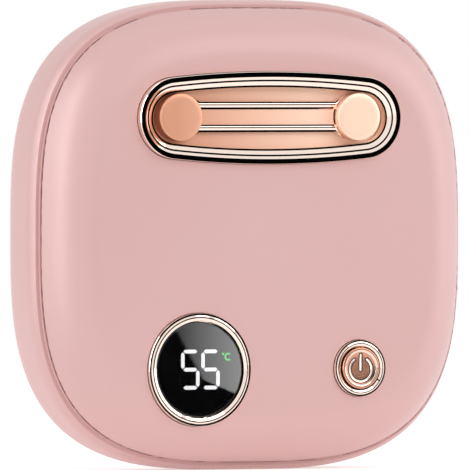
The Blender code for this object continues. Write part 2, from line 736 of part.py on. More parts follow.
def build_display():
    """Polished ring, smoked lens, light guides and the light box behind them."""
    place_at = (display_x, lower_y, 0)
    top = display_face + DISPLAY_PROUD
    flange = display_seat + GAP
    skirt_bottom = flange - DISPLAY_SKIRT_DEPTH
    ledge_top = skirt_bottom + DISPLAY_LEDGE_THICKNESS
    middle = DISPLAY_RADIUS - DISPLAY_RING_WIDTH / 2
    profile = [
        (display_inner_radius, top - 2 * RING_STEP),
        (display_inner_radius + RING_STEP, top - RING_STEP),
        (middle - RING_STEP, top - RING_STEP),
        (middle, top - 2 * RING_STEP),
        (middle + RING_STEP, top),
        (DISPLAY_RADIUS - RING_STEP, top),
        (DISPLAY_RADIUS, top - RING_STEP),
        (DISPLAY_RADIUS, flange),
        (display_skirt_radius, flange),
        (display_skirt_radius, skirt_bottom),
        (display_inner_radius - DISPLAY_LEDGE_WIDTH, skirt_bottom),
        (display_inner_radius - DISPLAY_LEDGE_WIDTH, ledge_top),
        (display_inner_radius, ledge_top),
    ]
    turned("display_bezel", profile, warmer, POLISHED_GOLD, place_at, hollow=True)

    lens_radius = display_inner_radius - GAP
    lens_bottom = ledge_top + GAP
    lens_top = lens_bottom + LENS_THICKNESS
    lens = [
        (0, lens_top),
        (lens_radius - RING_STEP, lens_top),
        (lens_radius, lens_top - RING_STEP),
        (lens_radius, lens_bottom),
        (0, lens_bottom),
    ]
    turned("display_lens", lens, warmer, SMOKED_ACRYLIC, place_at)

    relief_top = lens_bottom - GAP
    backing_top = relief_top - LIGHT_RELIEF
    backing_bottom = backing_top - LIGHT_BACKING
    module_top = backing_bottom - GAP
    module_radius = display_inner_radius - DISPLAY_LEDGE_WIDTH - GAP
    disc("display_module", module_radius, board_front + GAP, module_top, warmer, BLACK_PLASTIC, place_at)

    half_width = DIGIT_PITCH / 2 + DIGIT_WIDTH / 2 + LIGHT_MARGIN
    half_height = DIGIT_HEIGHT / 2 + LIGHT_MARGIN
    guide_place = (display_x + DIGITS_SHIFT, lower_y, 0)
    low = (-half_width, -half_height, backing_bottom)
    high = (half_width, half_height, backing_top)
    guide = box("digit_light_guide", low, high, warmer, WHITE_LIGHT, 0.0, guide_place)
    outlines = digit_five(-DIGIT_PITCH / 2) + digit_five(DIGIT_PITCH / 2)
    bottom = backing_top - LIGHT_BACKING / 2
    segments = []
    for index, outline in enumerate(outlines, 1):
        segments.append(prism(f"segment_{index}", outline, bottom, relief_top, cutters, None, guide_place))
    join(guide, *segments)

    mark_x = display_x + DIGITS_SHIFT + half_width + GAP + CELSIUS_WIDTH / 2
    mark_y = lower_y + DIGIT_HEIGHT / 2 - CELSIUS_DROP - CELSIUS_HEIGHT / 2
    mark_place = (mark_x, mark_y, 0)
    low = (-CELSIUS_WIDTH / 2, -CELSIUS_HEIGHT / 2, backing_bottom)
    high = (CELSIUS_WIDTH / 2, CELSIUS_HEIGHT / 2, backing_top)
    mark = box("celsius_light_guide", low, high, warmer, GREEN_LIGHT, 0.0, mark_place)
    dot_x = mark_x - CELSIUS_WIDTH / 2 + LIGHT_MARGIN + DEGREE_RADIUS
    dot_place = (dot_x, mark_y + CELSIUS_RADIUS - DEGREE_RADIUS, 0)
    dot = disc("degree_dot", DEGREE_RADIUS, bottom, relief_top, cutters, None, dot_place, SMALL_ROUND_STEPS)
    letter = []
    turns = arc_angles(CELSIUS_OPENING, math.tau - CELSIUS_OPENING, SMALL_ROUND_STEPS // 2)
    for radius, angles in ((CELSIUS_RADIUS, turns), (CELSIUS_RADIUS - CELSIUS_STROKE, reversed(turns))):
        for angle in angles:
            letter.append((radius * math.cos(angle), radius * math.sin(angle)))
    letter_reach = CELSIUS_RADIUS * math.cos(CELSIUS_OPENING) + LIGHT_MARGIN
    letter_place = (mark_x + CELSIUS_WIDTH / 2 - letter_reach, mark_y, 0)
    join(mark, dot, prism("celsius_letter", letter, bottom, relief_top, cutters, None, letter_place))


def build_button():
    """Polished ring, the cap that slides in it, and the switch that it presses."""
    place_at = (button_x, lower_y, 0)
    top = button_face + BUTTON_PROUD
    flange = button_seat + GAP
    skirt_bottom = flange - BUTTON_SKIRT_DEPTH
    middle = BUTTON_RADIUS - BUTTON_RING_WIDTH / 2
    profile = [
        (button_inner_radius, top - RING_STEP),
        (button_inner_radius + RING_STEP, top),
        (middle, top - RING_STEP),
        (BUTTON_RADIUS - RING_STEP, top - RING_STEP),
        (BUTTON_RADIUS, top - 2 * RING_STEP),
        (BUTTON_RADIUS, flange),
        (button_skirt_radius, flange),
        (button_skirt_radius, skirt_bottom),
        (button_inner_radius, skirt_bottom),
    ]
    turned("button_bezel", profile, warmer, POLISHED_GOLD, place_at, hollow=True)

    cap_radius = button_inner_radius - GAP
    cap_top = top + CAP_PROUD
    rim = cap_radius - CAP_RIM_WIDTH
    flange_top = skirt_bottom - GAP
    flange_bottom = flange_top - CAP_FLANGE_THICKNESS
    cap = [
        (0, cap_top - CAP_DISH),
        (rim - CAP_SLOPE_WIDTH, cap_top - CAP_DISH),
        (rim, cap_top),
        (cap_radius - RING_STEP, cap_top),
        (cap_radius, cap_top - RING_STEP),
        (cap_radius, flange_top),
        (cap_radius + CAP_FLANGE_WIDTH, flange_top),
        (cap_radius + CAP_FLANGE_WIDTH, flange_bottom),
        (0, flange_bottom),
    ]
    turned("button_cap", cap, warmer, POLISHED_GOLD, place_at)

    plunger_top = flange_bottom - GAP
    plunger_base = plunger_top - PLUNGER_DEPTH - BUTTON_TRAVEL
    body_top = plunger_top - BUTTON_TRAVEL - GAP
    half = SWITCH_SIDE / 2
    low = (-half, -half, board_front + GAP)
    body = box("switch_body", low, (half, half, body_top), warmer, BLACK_PLASTIC, PART_BEVEL, place_at)
    bore = PLUNGER_RADIUS + GAP
    bore_bottom = plunger_base - BUTTON_TRAVEL - GAP
    steps = SMALL_ROUND_STEPS
    cut(body, disc("switch_bore", bore, bore_bottom, body_top + OVERRUN, cutters, None, place_at, steps))
    disc("switch_plunger", PLUNGER_RADIUS, plunger_base, plunger_top, warmer, BLACK_PLASTIC, place_at, steps)


def build_board():
    """The circuit board, cut to the shell's outline with an arm up to the socket, and its parts."""
    outline = body_outline(TONGUE_INSIDE + GAP)
    board = prism("circuit_board", outline, board_back, board_front, warmer, BOARD_GREEN)
    arm_start = HALF_WIDTH - TONGUE_INSIDE - GAP - BOARD_ARM_WIDTH
    arm_top = port_y + PORT_WIDTH / 2 + GAP
    below = board_back - OVERRUN
    above = board_front + OVERRUN
    removed = [box("above_board", (-HALF_WIDTH, board_top, below), (arm_start, HALF_HEIGHT, above), cutters)]
    low = (arm_start - OVERRUN, arm_top, below)
    removed.append(box("above_arm", low, (HALF_WIDTH, HALF_HEIGHT + OVERRUN, above + OVERRUN), cutters))
    for index, (x, y) in enumerate(boss_places[2:], 1):
        name = f"board_hole_{index}"
        removed.append(disc(name, screw_bore, below, above, cutters, None, (x, y, 0), SMALL_ROUND_STEPS))
    cut(board, *removed)

    shell = port_solid("usb_c_shell", 0, port_inner_x, port_outer_x, warmer, STEEL)
    mouth = port_solid("port_mouth", -PORT_WALL, port_inner_x + PORT_WALL, port_outer_x + OVERRUN, cutters)
    cut(shell, mouth)
    tongue_start = port_inner_x + PORT_WALL + GAP
    low = (tongue_start, port_y - TONGUE_PLATE_WIDTH / 2, port_z - TONGUE_PLATE_HEIGHT / 2)
    tongue_end = tongue_start + TONGUE_PLATE_LENGTH
    high = (tongue_end, port_y + TONGUE_PLATE_WIDTH / 2, port_z + TONGUE_PLATE_HEIGHT / 2)
    box("usb_c_tongue", low, high, warmer, BLACK_PLASTIC)

    front = board_front + GAP
    back = board_back - GAP
    chip_y = board_top - CHIP_SIDE
    charge_x = (port_inner_x + arm_start) / 2
    parts = (
        ("microcontroller_chip", 0, chip_y, CHIP_SIDE, front, front + CHIP_HEIGHT),
        ("power_inductor", 0, -boss_y, COIL_SIDE, front, front + COIL_HEIGHT),
        ("heater_transistor", -boss_x - SWITCH_SIDE, chip_y, TRANSISTOR_SIDE, front, front + CHIP_HEIGHT),
        ("charge_controller_chip", charge_x, chip_y, CHARGE_CHIP_SIDE, back - CHIP_HEIGHT, back),
    )
    for name, x, y, side, bottom, top in parts:
        half = side / 2
        box(name, (x - half, y - half, bottom), (x + half, y + half, top), warmer, BLACK_PLASTIC, PART_BEVEL)


def build_tray():
    """The tray that holds the battery, with ears on the four bosses, and its screws."""
    pocket_half_width = battery_half_width + GAP
    pocket_half_height = battery_half_height + GAP
    outer_half_width = pocket_half_width + TRAY_RIM
    outer_half_height = pocket_half_height + TRAY_RIM
    outline = rounded_rectangle(outer_half_width, outer_half_height, TRAY_CORNER, PORT_CORNER_STEPS)
    tray = prism("inner_tray", outline, battery_back + TRAY_RIM / 2, tray_front, warmer, TRAY_GREY)
    floor = tray_front - TRAY_THICKNESS
    reach = boss_y - outer_half_height + 2 * TRAY_RIM
    ears = []
    bores = []
    for index, (x, y) in enumerate(boss_places, 1):
        side = math.copysign(1, y)
        outline = [(-BOSS_RADIUS, -side * reach), (BOSS_RADIUS, -side * reach)]
        for angle in arc_angles(0, math.pi, SMALL_ROUND_STEPS // 2):
            outline.append((BOSS_RADIUS * math.cos(angle), side * BOSS_RADIUS * math.sin(angle)))
        ear_top = boss_bottom - GAP
        if y < 0:
            ear_top = board_back - GAP
        ears.append(prism(f"ear_{index}", outline, floor, ear_top, cutters, None, (x, y, 0)))
        name = f"ear_bore_{index}"
        bore_bottom = floor - OVERRUN
        bore = disc(name, screw_bore, bore_bottom, OVERRUN, cutters, None, (x, y, 0), SMALL_ROUND_STEPS)
        bores.append(bore)
    join(tray, *ears)
    low = (-pocket_half_width, -pocket_half_height, battery_back - OVERRUN)
    pocket = box("battery_pocket", low, (pocket_half_width, pocket_half_height, floor), cutters)
    slot_low = (-SLOT_WIDTH / 2, -pocket_half_height, floor - OVERRUN)
    slot_high = (SLOT_WIDTH / 2, -pocket_half_height + SLOT_HEIGHT, tray_front + OVERRUN)
    cut(tray, pocket, box("lead_slot", slot_low, slot_high, cutters), *bores)
    for index, (x, y) in enumerate(boss_places, 1):
        profile = [
            (0, screw_head + SCREW_LENGTH),
            (SCREW_RADIUS, screw_head + SCREW_LENGTH - SCREW_RADIUS),
            (SCREW_RADIUS, screw_head),
            (SCREW_HEAD_RADIUS, screw_head),
            (SCREW_HEAD_RADIUS, screw_head - SCREW_HEAD_HEIGHT),
            (0, screw_head - SCREW_HEAD_HEIGHT),
        ]
        turned(f"tray_screw_{index}", profile, warmer, STEEL, (x, y, 0), steps=SMALL_ROUND_STEPS)


def build_battery():
    """The pouch cell, its protection board and the two leads through the tray's slot."""
    cell_bottom = -battery_half_height + PROTECTION_WIDTH + 2 * GAP
    low = (-battery_half_width, cell_bottom, battery_back)
    high = (battery_half_width, battery_half_height, battery_front)
    box("battery_cell", low, high, warmer, CELL_SILVER, BATTERY_ROUND)
    strip_front = battery_front - LEAD_STRAIGHT
    low = (-PROTECTION_LENGTH / 2, -battery_half_height, strip_front - PROTECTION_THICKNESS)
    high = (PROTECTION_LENGTH / 2, -battery_half_height + PROTECTION_WIDTH, strip_front)
    box("battery_protection_board", low, high, warmer, BOARD_GREEN)
    y = -battery_half_height + PROTECTION_WIDTH / 2
    start = strip_front + GAP
    end = board_back - GAP
    for name, side, finish in (("battery_lead_red", 1, RED_LEAD), ("battery_lead_black", -1, BLACK_LEAD)):
        x = side * BATTERY_LEAD_SPACING / 2
        points = [
            (x, y, start),
            (x, y, start + LEAD_STRAIGHT),
            (x, y + LEAD_BOW, (start + end) / 2),
            (x, y + 2 * LEAD_BOW, end - LEAD_STRAIGHT),
            (x, y + 2 * LEAD_BOW, end),
        ]
        lead(name, points, BATTERY_LEAD_RADIUS, finish)


def build_rear_heater():
    """Foam, heating film and aluminium plate behind the battery, with the film's two leads."""
    half_width = battery_half_width - FOAM_INSET
    half_height = battery_half_height - FOAM_INSET
    outline = rounded_rectangle(half_width, half_height, TRAY_CORNER, PORT_CORNER_STEPS)
    prism("rear_foam_pad", outline, rear_foam_back, rear_foam_back + FOAM_THICKNESS, warmer, FOAM_WHITE)
    plate_front = rear_plate_back + HEAT_PLATE_THICKNESS
    prism("rear_heat_plate", outline, rear_plate_back, plate_front, warmer, ALUMINIUM)
    film_front = rear_film_back + FILM_THICKNESS
    tail_top = board_top - LEAD_STRAIGHT
    tail_low = tail_top - FILM_TAIL_WIDTH
    tail_x = -half_width - FILM_TAIL_LENGTH
    film_outline = [
        (-half_width, -half_height),
        (half_width, -half_height),
        (half_width, half_height),
        (-half_width, half_height),
        (-half_width, tail_top),
        (tail_x, tail_top),
        (tail_x, tail_low),
        (-half_width, tail_low),
    ]
    prism("rear_heater_film", film_outline, rear_film_back, film_front, warmer, HEATER_AMBER)
    lead_x = -(battery_half_width + 2 * GAP + TRAY_RIM + HEATER_LEAD_RADIUS + HEATER_LEAD_RADIUS)
    middle = (tail_top + tail_low) / 2
    start = film_front + GAP
    end = board_back - GAP
    for index, side in enumerate((1, -1), 1):
        y = middle + side * HEATER_LEAD_SPACING / 2
        points = [
            (lead_x, y, start),
            (lead_x, y, start + LEAD_STRAIGHT),
            (lead_x - LEAD_BOW, y, (start + end) / 2),
            (lead_x, y, end - LEAD_STRAIGHT),
            (lead_x, y, end),
        ]
        lead(f"rear_heater_lead_{index}", points, HEATER_LEAD_RADIUS, WHITE_LEAD)


def build_front_heater():
    """Aluminium plate, film and foam block behind the middle of the face, their leads and the thermistor."""
    half_width = FRONT_PLATE_HALF_WIDTH
    bottom = lower_y + DISPLAY_RADIUS + GAP + BOSS_WALL + HEATER_ROOM
    top = grille_y - GRILLE_HEIGHT / 2 + GRILLE_FLANGE_WIDTH - GAP - WELL_WALL - HEATER_ROOM
    plate_front = min(face_height(half_width, bottom), face_height(half_width, top)) - WALL - GAP
    plate_back = plate_front - HEAT_PLATE_THICKNESS
    film_front = plate_back - GAP
    film_back = film_front - FILM_THICKNESS
    foam_bottom = board_top + HEATER_ROOM
    low = (-half_width, bottom, plate_back)
    box("front_heat_plate", low, (half_width, top, plate_front), warmer, ALUMINIUM)
    low = (-half_width, bottom, film_back)
    box("front_heater_film", low, (half_width, top, film_front), warmer, HEATER_AMBER)
    foam_low = (-FRONT_FOAM_HALF_WIDTH, foam_bottom, tray_front + GAP)
    foam_high = (FRONT_FOAM_HALF_WIDTH, top - HEATER_ROOM, film_back - GAP)
    box("front_foam_block", foam_low, foam_high, warmer, FOAM_WHITE)

    start = film_back - GAP
    end = board_front + GAP
    y = (bottom + board_top) / 2
    for index, side in enumerate((1, -1), 1):
        x = -(half_width + FRONT_FOAM_HALF_WIDTH) / 2 + side * HEATER_LEAD_SPACING / 2
        points = [
            (x, y, start),
            (x, y, start - LEAD_STRAIGHT),
            (x, y - LEAD_BOW, (start + end) / 2),
            (x, y, end + LEAD_STRAIGHT),
            (x, y, end),
        ]
        lead(f"front_heater_lead_{index}", points, HEATER_LEAD_RADIUS, WHITE_LEAD)

    bead_x = (half_width + FRONT_FOAM_HALF_WIDTH) / 2
    bead_z = film_back - GAP - THERMISTOR_RADIUS
    bead_y = (foam_bottom + top) / 2
    half_length = THERMISTOR_LENGTH / 2
    shoulder = THERMISTOR_RADIUS * ROUND_SHARE
    profile = [
        (0, half_length),
        (THERMISTOR_RADIUS - shoulder, half_length - shoulder),
        (THERMISTOR_RADIUS, half_length - THERMISTOR_RADIUS),
        (THERMISTOR_RADIUS, THERMISTOR_RADIUS - half_length),
        (THERMISTOR_RADIUS - shoulder, shoulder - half_length),
        (0, -half_length),
    ]
    bead_place = (bead_x, bead_y, bead_z)
    bead = turned("thermistor", profile, warmer, BLACK_PLASTIC, bead_place, steps=SMALL_ROUND_STEPS)
    bead.rotation_euler = (math.pi / 2, 0, 0)
    lead_start = bead_y - THERMISTOR_LENGTH / 2 - GAP
    for index, side in enumerate((1, -1), 1):
        x = bead_x + side * THERMISTOR_LEAD_SPACING / 2
        points = [
            (x, lead_start, bead_z),
            (x, lead_start - LEAD_STRAIGHT, bead_z),
            (x, (lead_start + y) / 2, (bead_z + end) / 2),
            (x, y, end + LEAD_STRAIGHT),
            (x, y, end),
        ]
        lead(f"thermistor_lead_{index}", points, THERMISTOR_LEAD_RADIUS, BLACK_LEAD)


build_front_shell()
build_rear_shell()
build_grille()
build_display()
build_button()
build_board()
build_tray()
build_battery()
build_rear_heater()
build_front_heater()
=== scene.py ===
import json
import math

import bmesh
import bpy
from mathutils import Matrix, Vector

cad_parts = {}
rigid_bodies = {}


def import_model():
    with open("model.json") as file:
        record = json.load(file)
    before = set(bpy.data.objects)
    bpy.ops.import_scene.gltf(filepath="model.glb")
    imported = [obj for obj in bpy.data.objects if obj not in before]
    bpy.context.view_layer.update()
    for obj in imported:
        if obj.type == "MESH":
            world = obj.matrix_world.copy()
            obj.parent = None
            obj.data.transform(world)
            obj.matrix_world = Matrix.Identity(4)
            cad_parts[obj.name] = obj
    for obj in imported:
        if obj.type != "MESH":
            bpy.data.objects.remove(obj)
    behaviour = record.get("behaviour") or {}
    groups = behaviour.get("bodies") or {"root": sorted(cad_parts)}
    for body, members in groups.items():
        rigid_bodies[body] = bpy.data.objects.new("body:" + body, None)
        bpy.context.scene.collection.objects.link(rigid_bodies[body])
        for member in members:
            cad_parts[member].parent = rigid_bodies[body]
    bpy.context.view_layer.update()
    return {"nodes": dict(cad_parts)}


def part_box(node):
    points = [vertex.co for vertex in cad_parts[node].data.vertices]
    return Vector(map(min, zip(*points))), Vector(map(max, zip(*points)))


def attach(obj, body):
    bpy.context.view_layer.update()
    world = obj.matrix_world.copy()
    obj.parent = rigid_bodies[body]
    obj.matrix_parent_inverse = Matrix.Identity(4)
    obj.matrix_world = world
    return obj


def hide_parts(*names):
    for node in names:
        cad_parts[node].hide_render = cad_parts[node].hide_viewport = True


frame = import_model()

# Rear shell
# The deeper half of the case, injection moulded in pink ABS. Its front rim is rounded over and carries
# the recessed ledge that the front half closes on; a slot on the right side opens to the socket.
BODY_WIDTH = 0.0921
BODY_HEIGHT = 0.0900
REAR_DEPTH = 0.0158
BACK_EDGE_RADIUS = 0.0075
WALL = 0.0018
FOOT_DEPTH = 0.00015
GAP = 0.0003
SQUARENESS = 3.1
RIM_INSET = 0.0009
RIM_DROP = 0.0008
RIM_RADIUS = 0.0040
GROOVE_WIDTH = 0.0006
SEAM_SHADOW = 0.0004
LEDGE_WIDTH = 0.0021
LEDGE_THICKNESS = 0.0013
LEDGE_SLOPE = 0.0008
STAND_FORWARD = 0.003252
MERGE_DISTANCE = 0.000002
BODY_STEPS = 256
SMOOTH_ANGLE = math.radians(38)
PINK = "#E0B6B4"
PINK_WARM = "#DDB0AC"

HALF_WIDTH = BODY_WIDTH / 2
HALF_HEIGHT = BODY_HEIGHT / 2
FOOT_LEVEL = -(HALF_HEIGHT - FOOT_DEPTH)
SEAM_INSET = RIM_INSET + GROOVE_WIDTH
LEDGE_INSET = RIM_INSET + LEDGE_WIDTH

# The pieces are drawn with X across, Y up the face and Z out of it, then stood up as the CAD is
upright = Matrix.Translation((0, -STAND_FORWARD, -FOOT_LEVEL)) @ Matrix.Rotation(math.pi / 2, 4, "X")


def linear(code):
    """An sRGB hex colour as the linear RGBA that Blender's sockets take."""
    channels = [int(code[place:place + 2], 16) / 255 for place in (1, 3, 5)]
    return (*(c / 12.92 if c <= 0.04045 else ((c + 0.055) / 1.055) ** 2.4 for c in channels), 1.0)


def fill(node, inputs):
    """Fills a node's inputs: with values, hex colours, sockets, or the first live output of other nodes."""
    for socket, source in inputs.items():
        if isinstance(source, str):
            source = linear(source)
        if isinstance(source, bpy.types.Node):
            source = next(output for output in source.outputs if output.enabled)
        if isinstance(source, bpy.types.NodeSocket):
            node.id_data.links.new(source, node.inputs[socket])
        else:
            node.inputs[socket].default_value = source
    return node


def add(tree, kind, inputs=None, **settings):
    """Adds one node, sets its properties and fills its inputs."""
    node = tree.nodes.new(kind)
    for name, value in settings.items():
        setattr(node, name, value)
    return fill(node, inputs or {})


def new_finish(name):
    """A new material, with its node tree, its shader and the coordinates for its patterns."""
    made = bpy.data.materials.new(name)
    made.use_nodes = True
    tree = made.node_tree
    return made, tree, tree.nodes["Principled BSDF"], add(tree, "ShaderNodeTexCoord").outputs["Object"]


def placed(name, data):
    """A new object in the scene."""
    made = bpy.data.objects.new(name, data)
    bpy.context.scene.collection.objects.link(made)
    return made


# The rule that both shells and every round piece follow: a section drawn as inset and level is carried
# round a rounded square of the given half sizes; a squareness of 2 makes it a circle
turning = bpy.data.node_groups.new("carry_section_round_outline", "GeometryNodeTree")
turning.interface.new_socket("Geometry", in_out="OUTPUT", socket_type="NodeSocketGeometry")
turning.interface.new_socket("Geometry", in_out="INPUT", socket_type="NodeSocketGeometry")
for label, kind in (
    ("Half Width", "NodeSocketFloat"),
    ("Half Height", "NodeSocketFloat"),
    ("Squareness", "NodeSocketFloat"),
    ("Foot Level", "NodeSocketFloat"),
    ("Steps", "NodeSocketInt"),
    ("Finish", "NodeSocketMaterial"),
):
    turning.interface.new_socket(label, in_out="INPUT", socket_type=kind)
given = turning.nodes.new("NodeGroupInput").outputs
place = add(turning, "GeometryNodeInputPosition")
section_curve = add(turning, "GeometryNodeMeshToCurve", {"Mesh": given["Geometry"]})
section = turning.nodes.new("GeometryNodeCaptureAttribute")
section.capture_items.new("VECTOR", "Section")
fill(section, {0: section_curve, 1: place})
ring = add(turning, "GeometryNodeCurvePrimitiveCircle", {"Resolution": given["Steps"], "Radius": 1.0})
heading = turning.nodes.new("GeometryNodeCaptureAttribute")
heading.capture_items.new("VECTOR", "Heading")
fill(heading, {0: ring, 1: place})
skin = add(turning, "GeometryNodeCurveToMesh", {"Curve": heading, "Profile Curve": section})
inset = add(turning, "ShaderNodeSeparateXYZ", {0: section.outputs[1]})
aim = add(turning, "ShaderNodeSeparateXYZ", {0: heading.outputs[1]})
power = add(turning, "ShaderNodeMath", {0: 2.0, 1: given["Squareness"]}, operation="DIVIDE")
pole = {0: inset.outputs[0], 1: given["Half Height"]}
short_of_pole = add(turning, "ShaderNodeMath", pole, operation="LESS_THAN")
reaches = []
for half, direction in (("Half Width", aim.outputs[0]), ("Half Height", aim.outputs[1])):
    size = add(turning, "ShaderNodeMath", {0: direction}, operation="ABSOLUTE")
    curved = add(turning, "ShaderNodeMath", {0: size, 1: power}, operation="POWER")
    sign = add(turning, "ShaderNodeMath", {0: direction}, operation="SIGN")
    left = add(turning, "ShaderNodeMath", {0: given[half], 1: inset.outputs[0]}, operation="SUBTRACT")
    kept = add(turning, "ShaderNodeMath", {0: left, 1: short_of_pole}, operation="MULTIPLY")
    signed = add(turning, "ShaderNodeMath", {0: curved, 1: sign}, operation="MULTIPLY")
    reaches.append(add(turning, "ShaderNodeMath", {0: signed, 1: kept}, operation="MULTIPLY"))
standing = add(turning, "ShaderNodeMath", {0: reaches[1], 1: given["Foot Level"]}, operation="MAXIMUM")
spot = add(turning, "ShaderNodeCombineXYZ", {0: reaches[0], 1: standing, 2: inset.outputs[1]})
moved = add(turning, "GeometryNodeSetPosition", {"Geometry": skin, "Position": spot})
welded = add(turning, "GeometryNodeMergeByDistance", {"Geometry": moved, "Distance": MERGE_DISTANCE})
dressed = add(turning, "GeometryNodeSetMaterial", {"Geometry": welded, "Material": given["Finish"]})
whole = add(turning, "GeometryNodeRealizeInstances", {0: dressed})
add(turning, "NodeGroupOutput", {0: whole})


def settle(drawn, name, move=Matrix.Identity(4), sharp=SMOOTH_ANGLE):
    """Applies an object's modifiers to a new plain mesh, with its place in the mesh and faces outwards."""
    graph = bpy.context.evaluated_depsgraph_get()
    mesh = bpy.data.meshes.new_from_object(drawn.evaluated_get(graph))
    bpy.data.objects.remove(drawn)
    mesh.name = name
    mesh.transform(move)
    shape = bmesh.new()
    shape.from_mesh(mesh)
    bmesh.ops.remove_doubles(shape, verts=shape.verts[:], dist=MERGE_DISTANCE)
    bmesh.ops.recalc_face_normals(shape, faces=shape.faces[:])
    shape.to_mesh(mesh)
    shape.free()
    mesh.shade_smooth()
    mesh.set_sharp_from_angle(angle=sharp)
    return placed(name, mesh)


def carry_round(
    name, profile, finish, half_width, half_height=None, squareness=2.0, foot=-1.0,
    centre=(0, 0), steps=96, looped=False, sharp=SMOOTH_ANGLE,
):
    """Runs the outline tree on a section of (inset, level) points and stands the result upright."""
    mesh = bpy.data.meshes.new(name)
    edges = [(index, index + 1) for index in range(len(profile) - 1)]
    if looped:
        edges.append((len(profile) - 1, 0))
    mesh.from_pydata([(inset, level, 0) for inset, level in profile], edges, [])
    drawn = placed(name + "_section", mesh)
    rule = drawn.modifiers.new("outline", "NODES")
    rule.node_group = turning
    values = (half_width, half_height or half_width, squareness, foot, steps, finish)
    inputs = [item for item in turning.interface.items_tree if item.in_out == "INPUT"][1:]
    for item, value in zip(inputs, values):
        rule[item.identifier] = value
    return settle(drawn, name, upright @ Matrix.Translation((*centre, 0)), sharp)


def turned(name, profile, finish, centre, steps=96, sharp=SMOOTH_ANGLE):
    """A round piece from a section of (radius, level) points, closed on itself or on the axis."""
    reach = max(radius for radius, level in profile)
    looped = min(radius for radius, level in profile) > 0
    section = [(reach - radius if radius else 2 * reach, level) for radius, level in profile]
    return carry_round(name, section, finish, reach, centre=centre, steps=steps, looped=looped, sharp=sharp)


def arc(first, last, steps):
    """Even steps from the first value to the last, both of them included."""
    return [first + (last - first) * step / steps for step in range(steps + 1)]


def cut_out(target, tools):
    """Cuts all of the tools, which are used up, out of a target with one exact Boolean."""
    group = bpy.data.collections.new("tools")
    bpy.context.scene.collection.children.link(group)
    for tool in tools:
        bpy.context.scene.collection.objects.unlink(tool)
        group.objects.link(tool)
    step = target.modifiers.new("tools", "BOOLEAN")
    step.operation = "DIFFERENCE"
    step.solver = "EXACT"
    step.operand_type = "COLLECTION"
    step.collection = group
    made = settle(target, target.name)
    for tool in list(group.objects):
        bpy.data.objects.remove(tool)
    bpy.data.collections.remove(group)
    return made


# Satin-painted moulded ABS: the eye gets a soft, even pink with a faint orange peel from the spray and
# a broad sheen along the rounded edges
pink_abs, tree, shader, coords = new_finish("satin_painted_abs")
cloud = add(tree, "ShaderNodeTexNoise", {"Vector": coords, "Scale": 28.0, "Detail": 2.0})
tint = add(tree, "ShaderNodeMix", {"Factor": cloud, 6: PINK, 7: PINK_WARM}, data_type="RGBA")
# Orange peel of about 0.6 mm, and moulding grain of about 0.12 mm
peel = add(tree, "ShaderNodeTexNoise", {"Vector": coords, "Scale": 1600.0, "Detail": 1.0})
grain = add(tree, "ShaderNodeTexNoise", {"Vector": coords, "Scale": 8000.0, "Detail": 1.0})
rough = add(tree, "ShaderNodeMapRange", {"Value": grain, "To Min": 0.36, "To Max": 0.46})
soft = add(tree, "ShaderNodeBump", {"Height": peel, "Strength": 0.10, "Distance": 0.00003})
fine = add(tree, "ShaderNodeBump", {"Height": grain, "Strength": 0.12, "Distance": 0.00001, "Normal": soft})
fill(shader, {"Base Color": tint, "Roughness": rough, "Normal": fine})
fill(shader, {"IOR": 1.5, "Coat Weight": 0.25, "Coat Roughness": 0.30})

port_low, port_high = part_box("usb_c_shell")
side_end = -(REAR_DEPTH - BACK_EDGE_RADIUS)
profile = [(HALF_HEIGHT, -REAR_DEPTH)]
profile += [(HALF_HEIGHT * share, -REAR_DEPTH) for share in (0.9, 0.7, 0.5, 0.3)]
for angle in arc(math.pi / 2, 0, 24):
    drop = BACK_EDGE_RADIUS * math.sin(angle)
    profile.append((BACK_EDGE_RADIUS * (1 - math.cos(angle)), side_end - drop))
rim_turn = math.acos(1 - RIM_INSET / RIM_RADIUS)
side_front = -RIM_DROP - RIM_RADIUS * math.sin(rim_turn)
for angle in arc(0, rim_turn, 14):
    profile.append((RIM_RADIUS * (1 - math.cos(angle)), side_front + RIM_RADIUS * math.sin(angle)))
profile += [
    (SEAM_INSET, -RIM_DROP),
    (SEAM_INSET, 0),
    (LEDGE_INSET, 0),
    (LEDGE_INSET, -LEDGE_THICKNESS),
    (WALL, -LEDGE_THICKNESS - LEDGE_SLOPE),
]
for angle in arc(0, math.pi / 2, 12):
    radius = BACK_EDGE_RADIUS - WALL
    profile.append((BACK_EDGE_RADIUS - radius * math.cos(angle), side_end - radius * math.sin(angle)))
profile += [(HALF_HEIGHT * share, WALL - REAR_DEPTH) for share in (0.3, 0.6, 0.9)]
profile.append((HALF_HEIGHT, WALL - REAR_DEPTH))
rear_shell = carry_round(
    "rear_case", profile, pink_abs, HALF_WIDTH, HALF_HEIGHT, SQUARENESS, FOOT_LEVEL, steps=BODY_STEPS
)


def close_up(name, shape, finish, move=upright, sharp=SMOOTH_ANGLE):
    """Makes a settled object of what was drawn, in its finish."""
    mesh = bpy.data.meshes.new(name)
    shape.to_mesh(mesh)
    shape.free()
    mesh.materials.append(finish)
    return settle(placed(name + "_drawn", mesh), name, move, sharp)


def loft(name, rings, finish, looped=False, move=upright, sharp=SMOOTH_ANGLE):
    """Joins rings of points, each with as many as the others, into one closed skin."""
    shape = bmesh.new()
    rows = [[shape.verts.new(point) for point in ring] for ring in rings]
    pairs = list(zip(rows, rows[1:]))
    if looped:
        pairs.append((rows[-1], rows[0]))
    for lower, upper in pairs:
        for index, corner in enumerate(lower):
            following = (index + 1) % len(lower)
            shape.faces.new((corner, lower[following], upper[following], upper[index]))
    if not looped:
        shape.faces.new(list(reversed(rows[0])))
        shape.faces.new(rows[-1])
    return close_up(name, shape, finish, move, sharp)


